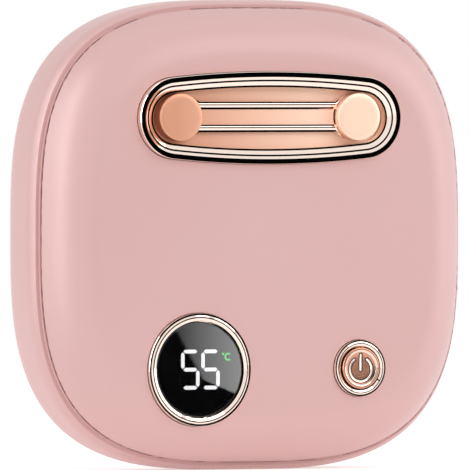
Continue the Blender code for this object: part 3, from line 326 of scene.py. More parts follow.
# The socket's slot: a stadium of the socket's own section and a gap, cut through the right-hand wall
socket_middle = (port_low + port_high) / 2
slot_half_up = (port_high.z - port_low.z) / 2 + GAP
slot_half_across = (port_high.y - port_low.y) / 2 + GAP
slot = []
for x in (port_low.x, HALF_WIDTH + WALL):
    points = []
    for angle in arc(0, math.tau, 48)[:-1]:
        lift = math.copysign(slot_half_up - slot_half_across, math.sin(angle))
        y = socket_middle.y + slot_half_across * math.cos(angle)
        points.append((x, y, socket_middle.z + lift + slot_half_across * math.sin(angle)))
    slot.append(points)
rear_shell = cut_out(rear_shell, [loft("slot", slot, pink_abs, move=Matrix.Identity(4))])
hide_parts("rear_shell")
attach(rear_shell, "housing")

# Rear heat plate
# A sheet of 0.8 mm aluminium that spreads the warmth over the back, sheared and left as rolled. It is
# glued inside the rear shell.


def join_up(shader, tones, mixed_by, relief, raised_by, roughness=None, varied_by=None, **numbers):
    """Joins a shader to its patterns: two tones, the strength and depth of a relief and, unless it is one
    number, a range of roughness, each with the node that it follows. Other numbers go on as they are."""
    tree = shader.id_data
    mix = {"Factor": mixed_by, 6: tones[0], 7: tones[1]}
    bump = {"Height": raised_by, "Strength": relief[0], "Distance": relief[1]}
    joined = {
        "Base Color": add(tree, "ShaderNodeMix", mix, data_type="RGBA"),
        "Normal": add(tree, "ShaderNodeBump", bump),
    }
    if roughness:
        scale = {"Value": varied_by, "To Min": roughness[0], "To Max": roughness[1]}
        joined["Roughness"] = add(tree, "ShaderNodeMapRange", scale)
    fill(shader, {**joined, **numbers})


# Mill-finish aluminium: pale metal with fine rolling lines along its length
mill, tree, shader, coords = new_finish("mill_finish_aluminium")
# Rolling lines about 0.1 mm wide and 5 mm long
stretched = add(tree, "ShaderNodeMapping", {"Vector": coords, "Scale": (200, 10000, 10000)})
rolled = add(tree, "ShaderNodeTexNoise", {"Vector": stretched, "Scale": 1.0, "Detail": 2.0})
smears = add(tree, "ShaderNodeTexNoise", {"Vector": coords, "Scale": 90.0, "Detail": 3.0})
join_up(shader, ("#CFCFD0", "#EDEDEE"), rolled, (0.2, 0.000006), rolled, (0.26, 0.42), smears, Metallic=1.0)


def dress(finish, *nodes):
    """Gives CAD pieces that are kept as they are their real material."""
    for node in nodes:
        frame["nodes"][node].data.materials[0] = finish


dress(mill, "rear_heat_plate")

# Rear heater film
# An etched metal foil between two sheets of amber polyimide, laminated and glued to the heat plate.
# Its trace runs up and down the film in one long serpent.
FILM_PITCH = 0.0026
FILM_MARGIN = 0.0030
TRACE_SHARE = 0.36
for side in ("rear", "front"):
    low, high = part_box(side + "_heater_film")
    # Polyimide film: a clear amber gloss over a dull metal trace about 1 mm wide
    film, tree, shader, coords = new_finish(f"polyimide_{side}_film")
    centred = add(tree, "ShaderNodeMapping", {"Vector": coords, "Location": -(low + high) / 2})
    place = add(tree, "ShaderNodeSeparateXYZ", {0: centred})
    rows = add(tree, "ShaderNodeMath", {0: place.outputs[2], 1: FILM_PITCH}, operation="DIVIDE")
    line = rows
    half_trace = TRACE_SHARE / 2
    for operation, number in (("FRACT", 0), ("SUBTRACT", 0.5), ("ABSOLUTE", 0), ("LESS_THAN", half_trace)):
        line = add(tree, "ShaderNodeMath", {0: line, 1: number}, operation=operation)
    # Each turn joins a row to the next one, by turns at the right and the left end
    odd = rows
    for operation, number in (("ADD", 0.5), ("FLOOR", 0), ("ABSOLUTE", 0), ("MODULO", 2)):
        odd = add(tree, "ShaderNodeMath", {0: odd, 1: number}, operation=operation)
    end = add(tree, "ShaderNodeMapRange", {"Value": odd, "To Min": -1.0, "To Max": 1.0})
    outward = add(tree, "ShaderNodeMath", {0: place.outputs[0], 1: end}, operation="MULTIPLY")
    reach = (high.x - low.x) / 2 - FILM_MARGIN
    turn_start = reach - FILM_PITCH * TRACE_SHARE
    turned_back = add(tree, "ShaderNodeMath", {0: outward, 1: turn_start}, operation="GREATER_THAN")
    trace = add(tree, "ShaderNodeMath", {0: line, 1: turned_back}, operation="MAXIMUM")
    for axis, limit in ((0, reach), (2, (high.z - low.z) / 2 - FILM_MARGIN)):
        away = add(tree, "ShaderNodeMath", {0: place.outputs[axis]}, operation="ABSOLUTE")
        kept = add(tree, "ShaderNodeMath", {0: away, 1: limit}, operation="LESS_THAN")
        trace = add(tree, "ShaderNodeMath", {0: trace, 1: kept}, operation="MULTIPLY")
    glue = add(tree, "ShaderNodeTexNoise", {"Vector": coords, "Scale": 160.0, "Detail": 3.0})
    amber = add(tree, "ShaderNodeMix", {"Factor": glue, 6: "#B4650F", 7: "#D58A2A"}, data_type="RGBA")
    join_up(shader, (amber, "#8A5A2E"), trace, (0.4, 0.00002), trace, (0.18, 0.30), glue, IOR=1.7)
    dress(film, side + "_heater_film")

# Rear foam pad
# Open-cell foam, die cut from sheet. It presses the heater on to its plate and keeps heat off the cell.
# White foam: dull, slightly uneven, with open cells of about 0.5 mm
foam, tree, shader, coords = new_finish("white_open_cell_foam")
cells = add(tree, "ShaderNodeTexVoronoi", {"Vector": coords, "Scale": 2000.0})
cloud = add(tree, "ShaderNodeTexNoise", {"Vector": coords, "Scale": 120.0, "Detail": 2.0})
pores = add(tree, "ShaderNodeMix", {"Factor": cells, 6: "#C9C8C2", 7: "#F3F2EE"}, data_type="RGBA")
join_up(shader, (pores, "#EDEBE4"), cloud, (0.8, 0.0001), cells, Roughness=0.95)
dress(foam, "rear_foam_pad")

# Battery cell
# A flat lithium pouch: stacked foils sealed into aluminium laminate, which is pressed to shape.


def patterned(name, tones, cloud, relief, height, roughness, grain, **numbers):
    """A finish whose tones, relief and roughness each follow the noise that is given after them."""
    made, tree, shader, coords = new_finish(name)
    drift, raised, fine = (
        add(tree, "ShaderNodeTexNoise", {"Vector": coords, **noise}) for noise in (cloud, height, grain)
    )
    join_up(shader, tones, drift, relief, raised, roughness, fine, **numbers)
    return made


# Pouch laminate: dull silver, softly crinkled over about 3 mm, with a fine satin of its nylon skin
crinkle = {"Scale": 330.0, "Detail": 3.0, "Distortion": 0.6}
skin = {"Scale": 6000.0}
tones = ("#A9AAAF", "#D6D7DA")
pouch = patterned(
    "aluminium_pouch_laminate", tones, crinkle, (0.35, 0.00012), crinkle, (0.30, 0.44), skin, Metallic=0.9
)
dress(pouch, "battery_cell")

# Battery protection board and circuit board
# Glass-fibre laminate, etched, coated in green solder mask and routed to shape. The small board is
# soldered to the cell's tabs, and the large one is clamped between the tray and the front shell.
# Solder mask: glossy green, lighter over the copper tracks beneath, with the pale fibre bare at the edges
laminate, tree, shader, coords = new_finish("solder_masked_laminate")
# Tracks 0.35 mm wide on a grid of about 3 mm, run as straight and stepped lines
flat = add(tree, "ShaderNodeMapping", {"Vector": coords, "Rotation": (math.pi / 2, 0, 0)})
grid = {"Mortar Size": 0.000175, "Mortar Smooth": 0.1, "Brick Width": 0.0068, "Row Height": 0.0017}
tracks = add(tree, "ShaderNodeTexBrick", {"Vector": flat, "Scale": 1.0, **grid}).outputs["Fac"]
weave = add(tree, "ShaderNodeTexNoise", {"Vector": coords, "Scale": 2500.0})
green = add(tree, "ShaderNodeMix", {"Factor": weave, 6: "#0C4A26", 7: "#125C31"}, data_type="RGBA")
masked = add(tree, "ShaderNodeMix", {"Factor": tracks, 6: green, 7: "#2A7F45"}, data_type="RGBA")
# The broad faces point forwards or back
facing = add(tree, "ShaderNodeSeparateXYZ", {0: add(tree, "ShaderNodeNewGeometry").outputs["True Normal"]})
across = add(tree, "ShaderNodeMath", {0: facing.outputs[1]}, operation="ABSOLUTE")
broad = add(tree, "ShaderNodeMath", {0: across, 1: 0.5}, operation="GREATER_THAN")
join_up(shader, ("#B9B27C", masked), broad, (0.5, 0.000035), tracks, (0.7, 0.25), broad)
dress(laminate, "battery_protection_board", "circuit_board")

# Leads
# Stranded copper in silicone rubber, cut to length and soldered: red and black ones from the cell, two
# white ones to each heater, and two thin black ones to the thermistor.
talc = {"Scale": 2600.0, "Detail": 3.0}
to_heaters = [f"{side}_heater_lead_{number}" for side in ("rear", "front") for number in (1, 2)]
for name, tones, nodes in (
    ("red", ("#9E1512", "#B4231C"), ["battery_lead_red"]),
    ("black", ("#18181A", "#262628"), ["battery_lead_black", "thermistor_lead_1", "thermistor_lead_2"]),
    ("white", ("#DAD8D2", "#ECEAE6"), to_heaters),
):
    # Silicone rubber: soft and waxy, with faint extrusion cloud and a dusting of talc
    rubber = patterned(name + "_silicone_rubber", tones, talc, (0.15, 0.00002), talc, (0.42, 0.60), talc)
    dress(rubber, *nodes)

# Inner tray
# Moulded in grey ABS: it carries the cell and clamps the circuit board to the front shell's bosses.
# Unpainted ABS: dull grey with the spark-eroded texture of the mould, about 0.2 mm
flow = {"Scale": 45.0, "Detail": 1.0}
spark = {"Scale": 5000.0, "Detail": 2.0}
tones = ("#65666A", "#737478")
grey = patterned("grey_moulded_abs", tones, flow, (0.3, 0.00002), spark, (0.50, 0.66), spark, IOR=1.53)
dress(grey, "inner_tray")

# Chips, transistor and inductor
# The controller, the charger and the heater's transistor are dies moulded in epoxy; the inductor is a coil
# pressed into ferrite powder. All are soldered to the circuit board.
DOT_ROOM = 0.0008
DOT_RADIUS = 0.00025
for node in ("microcontroller_chip", "charge_controller_chip", "heater_transistor"):
    low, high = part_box(node)
    # Moulding epoxy: matt near-black with a fine mineral grain, and a small smooth dot at its first pin
    epoxy, tree, shader, coords = new_finish("moulding_epoxy_" + node)
    grit = add(tree, "ShaderNodeTexNoise", {"Vector": coords, "Scale": 9000.0, "Detail": 2.0})
    # The charger's first pin is at the other corner, as it sits on the board's rear side
    dot_x = high.x - DOT_ROOM if node == "charge_controller_chip" else low.x + DOT_ROOM
    corner = Vector((dot_x, 0, high.z - DOT_ROOM))
    near = add(tree, "ShaderNodeMapping", {"Vector": coords, "Location": -corner})
    flat = add(tree, "ShaderNodeVectorMath", {0: near, 1: (1, 0, 1)}, operation="MULTIPLY")
    reach = add(tree, "ShaderNodeVectorMath", {0: flat}, operation="LENGTH")
    dot = add(tree, "ShaderNodeMath", {0: reach, 1: DOT_RADIUS}, operation="LESS_THAN")
    dark = add(tree, "ShaderNodeMix", {"Factor": grit, 6: "#1B1B1D", 7: "#2A2A2D"}, data_type="RGBA")
    join_up(shader, (dark, "#4A4A4D"), dot, (0.2, 0.00001), grit, (0.62, 0.3), dot)
    dress(epoxy, node)
# Pressed ferrite: dark warm grey, grainy, with rubbed pale specks of iron powder
ferrite, tree, shader, coords = new_finish("pressed_ferrite")
powder = add(tree, "ShaderNodeTexVoronoi", {"Vector": coords, "Scale": 6500.0})
specks = add(tree, "ShaderNodeMapRange", {"Value": powder, "From Min": 0.0, "From Max": 0.35})
join_up(shader, ("#77736F", "#3B3937"), specks, (0.3, 0.00002), powder, Roughness=0.7, Metallic=0.2)
dress(ferrite, "power_inductor")

# Thermistor
# A bead of ceramic dipped in epoxy, pressed into the front foam behind the heater.
# Dipped epoxy: dark and glossy, with a slow run in its surface
runs = {"Scale": 900.0, "Detail": 1.0}
tones = ("#101011", "#232021")
dress(patterned("dipped_black_epoxy", tones, runs, (0.25, 0.00005), runs, (0.12, 0.24), runs), "thermistor")

# Socket shell and tray screws
# The charging socket's shell is folded from stainless strip and nickel plated; four self-tapping screws,
# rolled and plated, hold the tray to the front shell.
THREAD_PITCH = 0.0008
SCREW_HEAD = 0.0022
for node in ("usb_c_shell", "tray_screw_1", "tray_screw_2", "tray_screw_3", "tray_screw_4"):
    low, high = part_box(node)
    # Bright nickel: warm grey mirror, softened by fine handling marks; the screws add rolled threads
    nickel, tree, shader, coords = new_finish("bright_nickel_" + node)
    marks = add(tree, "ShaderNodeTexNoise", {"Vector": coords, "Scale": 3000.0, "Detail": 4.0})
    height = marks
    depth = 0.000004
    if node != "usb_c_shell":
        # Threads that wind round the screw's own axis, on the shank alone
        centred = add(tree, "ShaderNodeMapping", {"Vector": coords, "Location": -(low + high) / 2})
        x, y, z = add(tree, "ShaderNodeSeparateXYZ", {0: centred}).outputs
        wound = add(tree, "ShaderNodeMath", {0: z, 1: x}, operation="ARCTAN2")
        along = add(tree, "ShaderNodeMath", {0: y, 1: math.tau / THREAD_PITCH}, operation="MULTIPLY")
        turns = add(tree, "ShaderNodeMath", {0: along, 1: wound}, operation="ADD")
        wave = add(tree, "ShaderNodeMath", {0: turns}, operation="SINE")
        shank_end = (high.y - low.y) / 2 - SCREW_HEAD
        shank = add(tree, "ShaderNodeMath", {0: y, 1: shank_end}, operation="LESS_THAN")
        height = add(tree, "ShaderNodeMath", {0: wave, 1: shank}, operation="MULTIPLY")
        depth = 0.00015
    join_up(shader, ("#BDB9B3", "#D8D5D0"), marks, (0.6, depth), height, (0.16, 0.32), marks, Metallic=1.0)
    dress(nickel, node)

# Socket tongue, switch and display module
# All moulded in glass-filled black nylon: the tongue that carries the socket's contacts, the tactile
# switch's body and its plunger, and the light box behind the digits.
# Glass-filled nylon: near black, dry, with fibre swirls that catch a little light
swirl = {"Scale": 1400.0, "Detail": 4.0, "Distortion": 1.0}
grain = {"Scale": 7000.0}
tones = ("#08080A", "#161618")
nylon = patterned(
    "glass_filled_black_nylon", tones, swirl, (0.2, 0.000015), grain, (0.45, 0.62), grain, IOR=1.53
)
dress(nylon, "usb_c_tongue", "switch_body", "switch_plunger", "display_module")

# Front heater, its plate and its foam
# The same film and sheet as at the back, smaller, glued behind the face between the grille and the
# display; a deep block of the same foam fills the space behind them.
dress(mill, "front_heat_plate")
dress(foam, "front_foam_block")

# Front shell
# The domed half, moulded and painted as the rear one, with a turned tongue that drops inside its ledge.
# The grille sits in a walled well and the display in a boss, and four screw bosses hold the tray.
FRONT_RISE = 0.00775
CROWN_RISE = 0.00035
FRONT_EDGE_INSET = 0.0095
EDGE_START_ANGLE = math.radians(29)
TONGUE_THICKNESS = 0.0010
TONGUE_LENGTH = 0.0012
TONGUE_OUTSIDE = LEDGE_INSET + GAP
TONGUE_INSIDE = TONGUE_OUTSIDE + TONGUE_THICKNESS
GRILLE_DROP = 0.0226
GRILLE_LENGTH = 0.0555
GRILLE_HEIGHT = 0.0177
GRILLE_END_RADIUS = 0.0078
GRILLE_PROUD = 0.00135
GRILLE_SEAT_DEPTH = 0.00075
GRILLE_FLANGE_WIDTH = 0.0014
GRILLE_RIM_WIDTH = 0.0016
RIM_ROUND_SHARE = 0.25
GRILLE_SLOPE_DEPTH = 0.0022
GRILLE_PLATE_THICKNESS = 0.0011
WELL_WALL = 0.0015
WELL_FLOOR = 0.0010
DISPLAY_X_SHARE = -0.3214
DISPLAY_RAISE = 0.0195
DISPLAY_RADIUS = 0.0108
DISPLAY_RING_WIDTH = 0.0015
DISPLAY_SEAT_DEPTH = 0.00128
DISPLAY_SKIRT_WIDTH = 0.0008
BOSS_WALL = 0.0012
BOSS_DEPTH = 0.0020
BUTTON_X_SHARE = 0.4213
BUTTON_RADIUS = 0.00542
BUTTON_RING_WIDTH = 0.00117
BUTTON_SEAT_DEPTH = 0.00080
BUTTON_SKIRT_WIDTH = 0.0006
BOSS_RADIUS = 0.0024
BOSS_X_SHARE = 0.532
BOSS_EDGE_ROOM = 0.0115
SCREW_BORE = 0.00105
OVERRUN = 0.0050
FACE_FIT = 0.00010
OVAL_STEPS = 20


def front_edge(angle):
    """Inset and level of the rounded edge at an angle of its arc."""
    start = EDGE_START_ANGLE
    run = FRONT_EDGE_INSET * (math.cos(start) - math.cos(angle)) / math.cos(start)
    return run, FRONT_RISE * (math.sin(angle) - math.sin(start)) / (1 - math.sin(start))


def front_edge_inside(angle):
    """The point one wall thickness inside the rounded edge."""
    run, level = front_edge(angle)
    across = FRONT_EDGE_INSET / math.cos(EDGE_START_ANGLE) * math.sin(angle)
    along = FRONT_RISE / (1 - math.sin(EDGE_START_ANGLE)) * math.cos(angle)
    length = math.hypot(across, along)
    return run + WALL * along / length, level - WALL * across / length


def crown(share):
    """Inset and level of the face at a share of the way from its edge to its middle."""
    run = FRONT_EDGE_INSET + share * (HALF_HEIGHT - SEAM_INSET - FRONT_EDGE_INSET)
    return run, FRONT_RISE + CROWN_RISE * (1 - (1 - share) ** 2)


def face_level(x, y):
    """Level of the outer face at a place on it."""
    across = abs(x) / (HALF_WIDTH - SEAM_INSET)
    along = abs(y) / (HALF_HEIGHT - SEAM_INSET)
    reach = (across**SQUARENESS + along**SQUARENESS) ** (1 / SQUARENESS)
    run = (HALF_HEIGHT - SEAM_INSET) * (1 - reach)
    return crown((run - FRONT_EDGE_INSET) / (HALF_HEIGHT - SEAM_INSET - FRONT_EDGE_INSET))[1]


def oval(inset):
    """The grille's long oval, of two round ends and two shallow arcs, drawn in by an inset."""
    half_height = GRILLE_HEIGHT / 2
    end = GRILLE_LENGTH / 2 - GRILLE_END_RADIUS
    long_radius = (end**2 + half_height**2 - GRILLE_END_RADIUS**2) / (2 * (half_height - GRILLE_END_RADIUS))
    lean = math.asin(end / (long_radius - GRILLE_END_RADIUS))
    radius = GRILLE_END_RADIUS - inset
    meeting = math.pi / 2 - lean
    quarter = [(end + radius * math.cos(a), radius * math.sin(a)) for a in arc(0, meeting, OVAL_STEPS)]
    radius = long_radius - inset
    drop = long_radius - half_height
    for angle in arc(meeting, math.pi / 2, OVAL_STEPS)[1:]:
        quarter.append((radius * math.cos(angle), radius * math.sin(angle) - drop))
    upper = quarter + [(-x, y) for x, y in reversed(quarter[:-1])]
    return upper + [(x, -y) for x, y in reversed(upper[1:-1])]


def lifted(outline, level):
    """An outline round the grille's middle, as a ring of points at a level."""
    return [(x, y + grille_y, level) for x, y in outline]


display_x = DISPLAY_X_SHARE * HALF_WIDTH
button_x = BUTTON_X_SHARE * HALF_WIDTH
boss_x = BOSS_X_SHARE * HALF_WIDTH
boss_y = HALF_HEIGHT - BOSS_EDGE_ROOM
grille_y = HALF_HEIGHT - GRILLE_DROP
lower_y = -(HALF_HEIGHT - DISPLAY_RAISE)
grille_face = face_level(0, grille_y)
display_face = face_level(display_x, lower_y)
button_face = face_level(button_x, lower_y)
front_reach = grille_face + GRILLE_PROUD
grille_seat = grille_face - GRILLE_SEAT_DEPTH - GAP
grille_floor = front_reach - GRILLE_RIM_WIDTH * RIM_ROUND_SHARE - GRILLE_SLOPE_DEPTH
plate_top = grille_floor - GAP
plate_bottom = plate_top - GRILLE_PLATE_THICKNESS
display_seat = display_face - DISPLAY_SEAT_DEPTH
display_inner = DISPLAY_RADIUS - DISPLAY_RING_WIDTH
button_seat = button_face - BUTTON_SEAT_DEPTH
button_inner = BUTTON_RADIUS - BUTTON_RING_WIDTH

outside = [(HALF_HEIGHT, -TONGUE_LENGTH), (TONGUE_OUTSIDE, -TONGUE_LENGTH), (TONGUE_OUTSIDE, SEAM_SHADOW)]
for angle in arc(EDGE_START_ANGLE, math.pi / 2, 40):
    run, level = front_edge(angle)
    outside.append((SEAM_INSET + run, max(level, SEAM_SHADOW)))
for share in arc(0, 1, 16)[1:-1]:
    run, level = crown(share)
    outside.append((SEAM_INSET + run, level))
outside.append((HALF_HEIGHT, crown(1)[1]))
front_shell = carry_round(
    "front_case", outside, pink_abs, HALF_WIDTH, HALF_HEIGHT, SQUARENESS, steps=BODY_STEPS
)
open_end = -TONGUE_LENGTH - OVERRUN
inside = [(HALF_HEIGHT, open_end), (TONGUE_INSIDE, open_end), (TONGUE_INSIDE, GAP)]
for angle in arc(EDGE_START_ANGLE, math.pi / 2, 16):
    run, level = front_edge_inside(angle)
    if SEAM_INSET + run > TONGUE_INSIDE + GAP and level > 2 * GAP:
        inside.append((SEAM_INSET + run, level))
for share in (0.22, 0.5, 0.8):
    run, level = crown(share)
    inside.append((SEAM_INSET + run, level - WALL))
inside.append((HALF_HEIGHT, crown(1)[1] - WALL))
hollow = carry_round("hollow", inside, pink_abs, HALF_WIDTH, HALF_HEIGHT, SQUARENESS, steps=96)


def plug(name, radius, low, high, centre, steps=32):
    """A solid round bar, as a boss or as the cutter of a bore."""
    section = [(0, high), (radius, high), (radius, low), (0, low)]
    return turned(name, section, pink_abs, centre, steps=steps)


well = oval(GRILLE_FLANGE_WIDTH - GAP - WELL_WALL)
well_bottom = plate_bottom - GAP - WELL_FLOOR
well_rings = [lifted(well, level) for level in (well_bottom, front_reach)]
solids = [loft("well", well_rings, pink_abs)]
boss_radius = DISPLAY_RADIUS + GAP + BOSS_WALL
boss_back = display_seat - BOSS_DEPTH
solids.append(plug("display_boss", boss_radius, boss_back, front_reach, (display_x, lower_y), steps=96))
bores = []
for centre in ((-boss_x, -boss_y), (-boss_x, boss_y), (boss_x, -boss_y), (boss_x, boss_y)):
    solids.append(plug("boss", BOSS_RADIUS, 0, front_reach, centre))
    bores.append(plug("bore", SCREW_BORE, -OVERRUN, FRONT_RISE - WALL, centre))
hollow = cut_out(hollow, solids)
top = front_reach + OVERRUN
pocket = oval(GRILLE_FLANGE_WIDTH - GAP)
seat = oval(-FACE_FIT)
walls = [(pocket, plate_bottom - GAP), (pocket, grille_seat), (seat, grille_seat), (seat, top)]
openings = [hollow, loft("pocket", [lifted(outline, level) for outline, level in walls], pink_abs)]
for x, radius, level, skirt in (
    (display_x, DISPLAY_RADIUS, display_seat, display_inner + DISPLAY_SKIRT_WIDTH),
    (button_x, BUTTON_RADIUS, button_seat, button_inner + BUTTON_SKIRT_WIDTH),
):
    wide = radius + FACE_FIT
    narrow = skirt + GAP
    section = [(0, top), (wide, top), (wide, level), (narrow, level), (narrow, 0), (0, 0)]
    openings.append(turned("opening", section, pink_abs, (x, lower_y), steps=128))
front_shell = cut_out(front_shell, openings + bores)
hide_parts("front_shell")
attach(front_shell, "housing")

# Grille bezel
# A die-cast zinc rim, plated in pale rose gold and polished, that presses into the pocket of the face.
# Its outer land is flat, and two slopes with a fine step between them lead down to the floor.
ROSE_GOLD_POLISHED = "#F6E4D8"

# Polished plating: mirror-sharp reflections with the faintest haze and long, fine polishing marks
polished, tree, shader, coords = new_finish("polished_rose_gold_plating")
marks = add(tree, "ShaderNodeTexNoise", {"Vector": coords, "Scale": 900.0, "Detail": 3.0})
rough = add(tree, "ShaderNodeMapRange", {"Value": marks, "To Min": 0.0, "To Max": 0.04})
fill(shader, {"Roughness": rough, "Base Color": ROSE_GOLD_POLISHED, "Metallic": 1.0})

# Facets from the outside in: a hairline round-over, a flat land, a slope, a fine flat step, a deeper
# slope and a last flat edge above the floor; each catches another part of the studio
BAND_ANGLE = math.radians(9)
rim_top = front_reach
land_end = rim_top - 0.00038
step_end = land_end - 0.00046
sections = [
    (0, grille_face - GRILLE_SEAT_DEPTH),
    (0, rim_top - 0.00013),
    (0.00010, rim_top),
    (0.00102, rim_top),
    (0.00152, land_end),
    (0.00186, land_end),
    (0.00258, step_end),
    (0.00294, step_end),
    (0.00295, step_end - 0.00004),
    (0.00295, grille_floor),
    (GRILLE_FLANGE_WIDTH, grille_floor),
    (GRILLE_FLANGE_WIDTH, grille_face - GRILLE_SEAT_DEPTH),
]
rings = [lifted(oval(inset), level) for inset, level in sections]
grille_bezel = loft("grille_rim", rings, polished, looped=True, sharp=BAND_ANGLE)
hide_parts("grille_bezel")
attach(grille_bezel, "housing")

# Grille plate
# The ornament's floor, stamped from thin brass sheet, bead-blasted to a satin and plated in rose gold.
# The plating's colour, painted darker and more coppery at the left end and paler at the right as painted
# shading
SHADED_COPPER_TONE = "#DAA084"
LIT_PALE_TONE = "#FFD9C3"
PLATE_CHAMFER = 0.0001

# Satin plating: broad soft sheen from a bead-blasted ground of about 0.1 mm grain
satin, tree, shader, coords = new_finish("satin_rose_gold_plating_painted_shade")
blast = add(tree, "ShaderNodeTexNoise", {"Vector": coords, "Scale": 9000.0, "Detail": 2.0})
veil = add(tree, "ShaderNodeTexNoise", {"Vector": coords, "Scale": 260.0, "Detail": 2.0})
# Painted light: the tone runs from a darker coppery one at the left end to a paler, lit-looking one at the
# right, painted in for the way light falls across the ornament
across = add(tree, "ShaderNodeSeparateXYZ", {0: coords})
drift = add(tree, "ShaderNodeMapRange", {"Value": across.outputs[0], "From Min": -0.020, "From Max": 0.010})
tones = (SHADED_COPPER_TONE, LIT_PALE_TONE)
join_up(shader, tones, drift, (0.15, 0.000008), blast, (0.50, 0.58), veil, Metallic=1.0)

outline = oval(GRILLE_FLANGE_WIDTH)
edge = oval(GRILLE_FLANGE_WIDTH + PLATE_CHAMFER)
levels = [(outline, plate_bottom), (outline, plate_top - PLATE_CHAMFER), (edge, plate_top)]
grille_plate = loft("grille_floor", [lifted(around, level) for around, level in levels], satin)
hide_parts("grille_plate")
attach(grille_plate, "housing")

# Grille discs
# Two coin-like bosses, turned from brass with a broadly rounded edge and blasted and plated as the floor.
DISC_SPACING = 0.0380
DISC_RADIUS = 0.0045
DISC_HEIGHT = 0.0024
DISC_ROUND_WIDTH = 0.0011
DISC_ROUND_DEPTH = 0.0003
BAR_RISE = 0.0002
bar_y = grille_y + BAR_RISE
bar_bottom = plate_top + GAP
disc_top = bar_bottom + DISC_HEIGHT
section = [(0, disc_top), (DISC_RADIUS / 2, disc_top)]
for angle in arc(0, math.pi / 2, 12):
    radius = DISC_RADIUS - DISC_ROUND_WIDTH * (1 - math.sin(angle))
    section.append((radius, disc_top - DISC_ROUND_DEPTH * (1 - math.cos(angle))))
section += [(DISC_RADIUS, bar_bottom), (0, bar_bottom)]
for name, side in (("grille_disc_left", -1), ("grille_disc_right", 1)):
    disc = turned(name + "_face", section, satin, (side * DISC_SPACING / 2, bar_y))
    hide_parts(name)
    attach(disc, "housing")

# Grille bar
# A stamped strap between the discs. Its two edges flare round them, and along each edge runs a polished
# ridge of fine facets, rolled in and buffed after the plating.
BAR_WIDTH = 0.0058
BAR_THICKNESS = 0.0006
BAR_FLARE_LENGTH = 0.0022
BAR_FLARE_RISE = 0.0013
RIDGE_SUNK = 0.0002
bar_top = bar_bottom + BAR_THICKNESS
clear_radius = DISC_RADIUS + GAP
half_width = BAR_WIDTH / 2
flare = half_width + BAR_FLARE_RISE
neck = DISC_SPACING / 2 - math.sqrt(clear_radius**2 - flare**2)
waist = neck - BAR_FLARE_LENGTH
# Rows across the strap, each from one end's arc to the other's
lean = math.asin(flare / clear_radius)
heights = [clear_radius * math.sin(angle) for angle in arc(-lean, lean, 40)]
rows = []
for y in sorted(heights + [-half_width, half_width]):
    edge = DISC_SPACING / 2 - math.sqrt(clear_radius**2 - y**2)
    bend = waist + BAR_FLARE_LENGTH * max(0.0, abs(y) - half_width) / BAR_FLARE_RISE
    rows.append([(x, bar_y + y) for x in (-edge, -bend, bend, edge)])
shape = bmesh.new()
grid = [[shape.verts.new((x, y, bar_bottom)) for x, y in row] for row in rows]
for lower, upper in zip(grid, grid[1:]):
    on_flare = abs(lower[0].co.y + upper[0].co.y - 2 * bar_y) / 2 > half_width
    for place in (0, 2) if on_flare else (0, 1, 2):
        shape.faces.new((lower[place], lower[place + 1], upper[place + 1], upper[place]))
raised = bmesh.ops.extrude_face_region(shape, geom=shape.faces[:], use_keep_orig=True)["geom"]
lifted_corners = [item for item in raised if isinstance(item, bmesh.types.BMVert)]
bmesh.ops.translate(shape, verts=lifted_corners, vec=(0, 0, BAR_THICKNESS))
strap = close_up("strap", shape, satin)
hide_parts("grille_bar")
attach(strap, "housing")


def edge_path(depth, side):
    """The strap's edge, drawn in by a depth: the straight run and the two flares, cut by the disc gaps."""
    run = half_width - depth
    lean = math.hypot(BAR_FLARE_LENGTH, BAR_FLARE_RISE)
    bend = waist + depth * (lean - BAR_FLARE_LENGTH) / BAR_FLARE_RISE
    low, high = 0.0, 2 * BAR_FLARE_LENGTH
    for _ in range(40):
        middle = (low + high) / 2
        x = bend + middle
        y = run + middle * BAR_FLARE_RISE / BAR_FLARE_LENGTH
        if math.hypot(x - DISC_SPACING / 2, y) > clear_radius:
            low = middle
        else:
            high = middle
    end = (bend + low, run + low * BAR_FLARE_RISE / BAR_FLARE_LENGTH)
    half = [(bend, run), end]
    points = [(-x, y) for x, y in reversed(half)] + half
    return [(x, bar_y + side * y) for x, y in points]


# Each ridge from its upper side down: depth below that side, and height above the strap
ridge_facets = [
    (0.00000, 0.00036),
    (0.00030, 0.00036),
    (0.00044, 0.00042),
    (0.00066, 0.00042),
    (0.00104, 0.00022),
    (0.00136, 0.00022),
    (0.00144, 0.00014),
]
RIDGE_REACH = ridge_facets[-1][0]
for name, side in (("strap_ridge_upper", 1), ("strap_ridge_lower", -1)):
    facets = [(0.0, -RIDGE_SUNK)] + ridge_facets + [(RIDGE_REACH, -RIDGE_SUNK)]
    lanes = []
    for depth, height in facets:
        inward = depth if side > 0 else RIDGE_REACH - depth
        lanes.append([(x, y, bar_top + height) for x, y in edge_path(inward, side)])
    # Turned so that each ring is one cut through the ridge
    cuts = [[lane[index] for lane in lanes] for index in range(len(lanes[0]))]
    ridge = loft(name, cuts, polished, sharp=BAND_ANGLE)
    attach(ridge, "housing")

# Display bezel
# A ring turned from zinc and plated as the grille's rim, with two flat lands and a wide inner slope.
DISPLAY_PROUD = 0.00085
DISPLAY_SKIRT_DEPTH = 0.0013
DISPLAY_LEDGE_WIDTH = 0.0010
DISPLAY_LEDGE_THICKNESS = 0.0009
top = display_face + DISPLAY_PROUD
flange = display_seat + GAP
skirt_bottom = flange - DISPLAY_SKIRT_DEPTH
ledge_top = skirt_bottom + DISPLAY_LEDGE_THICKNESS
skirt = display_inner + DISPLAY_SKIRT_WIDTH
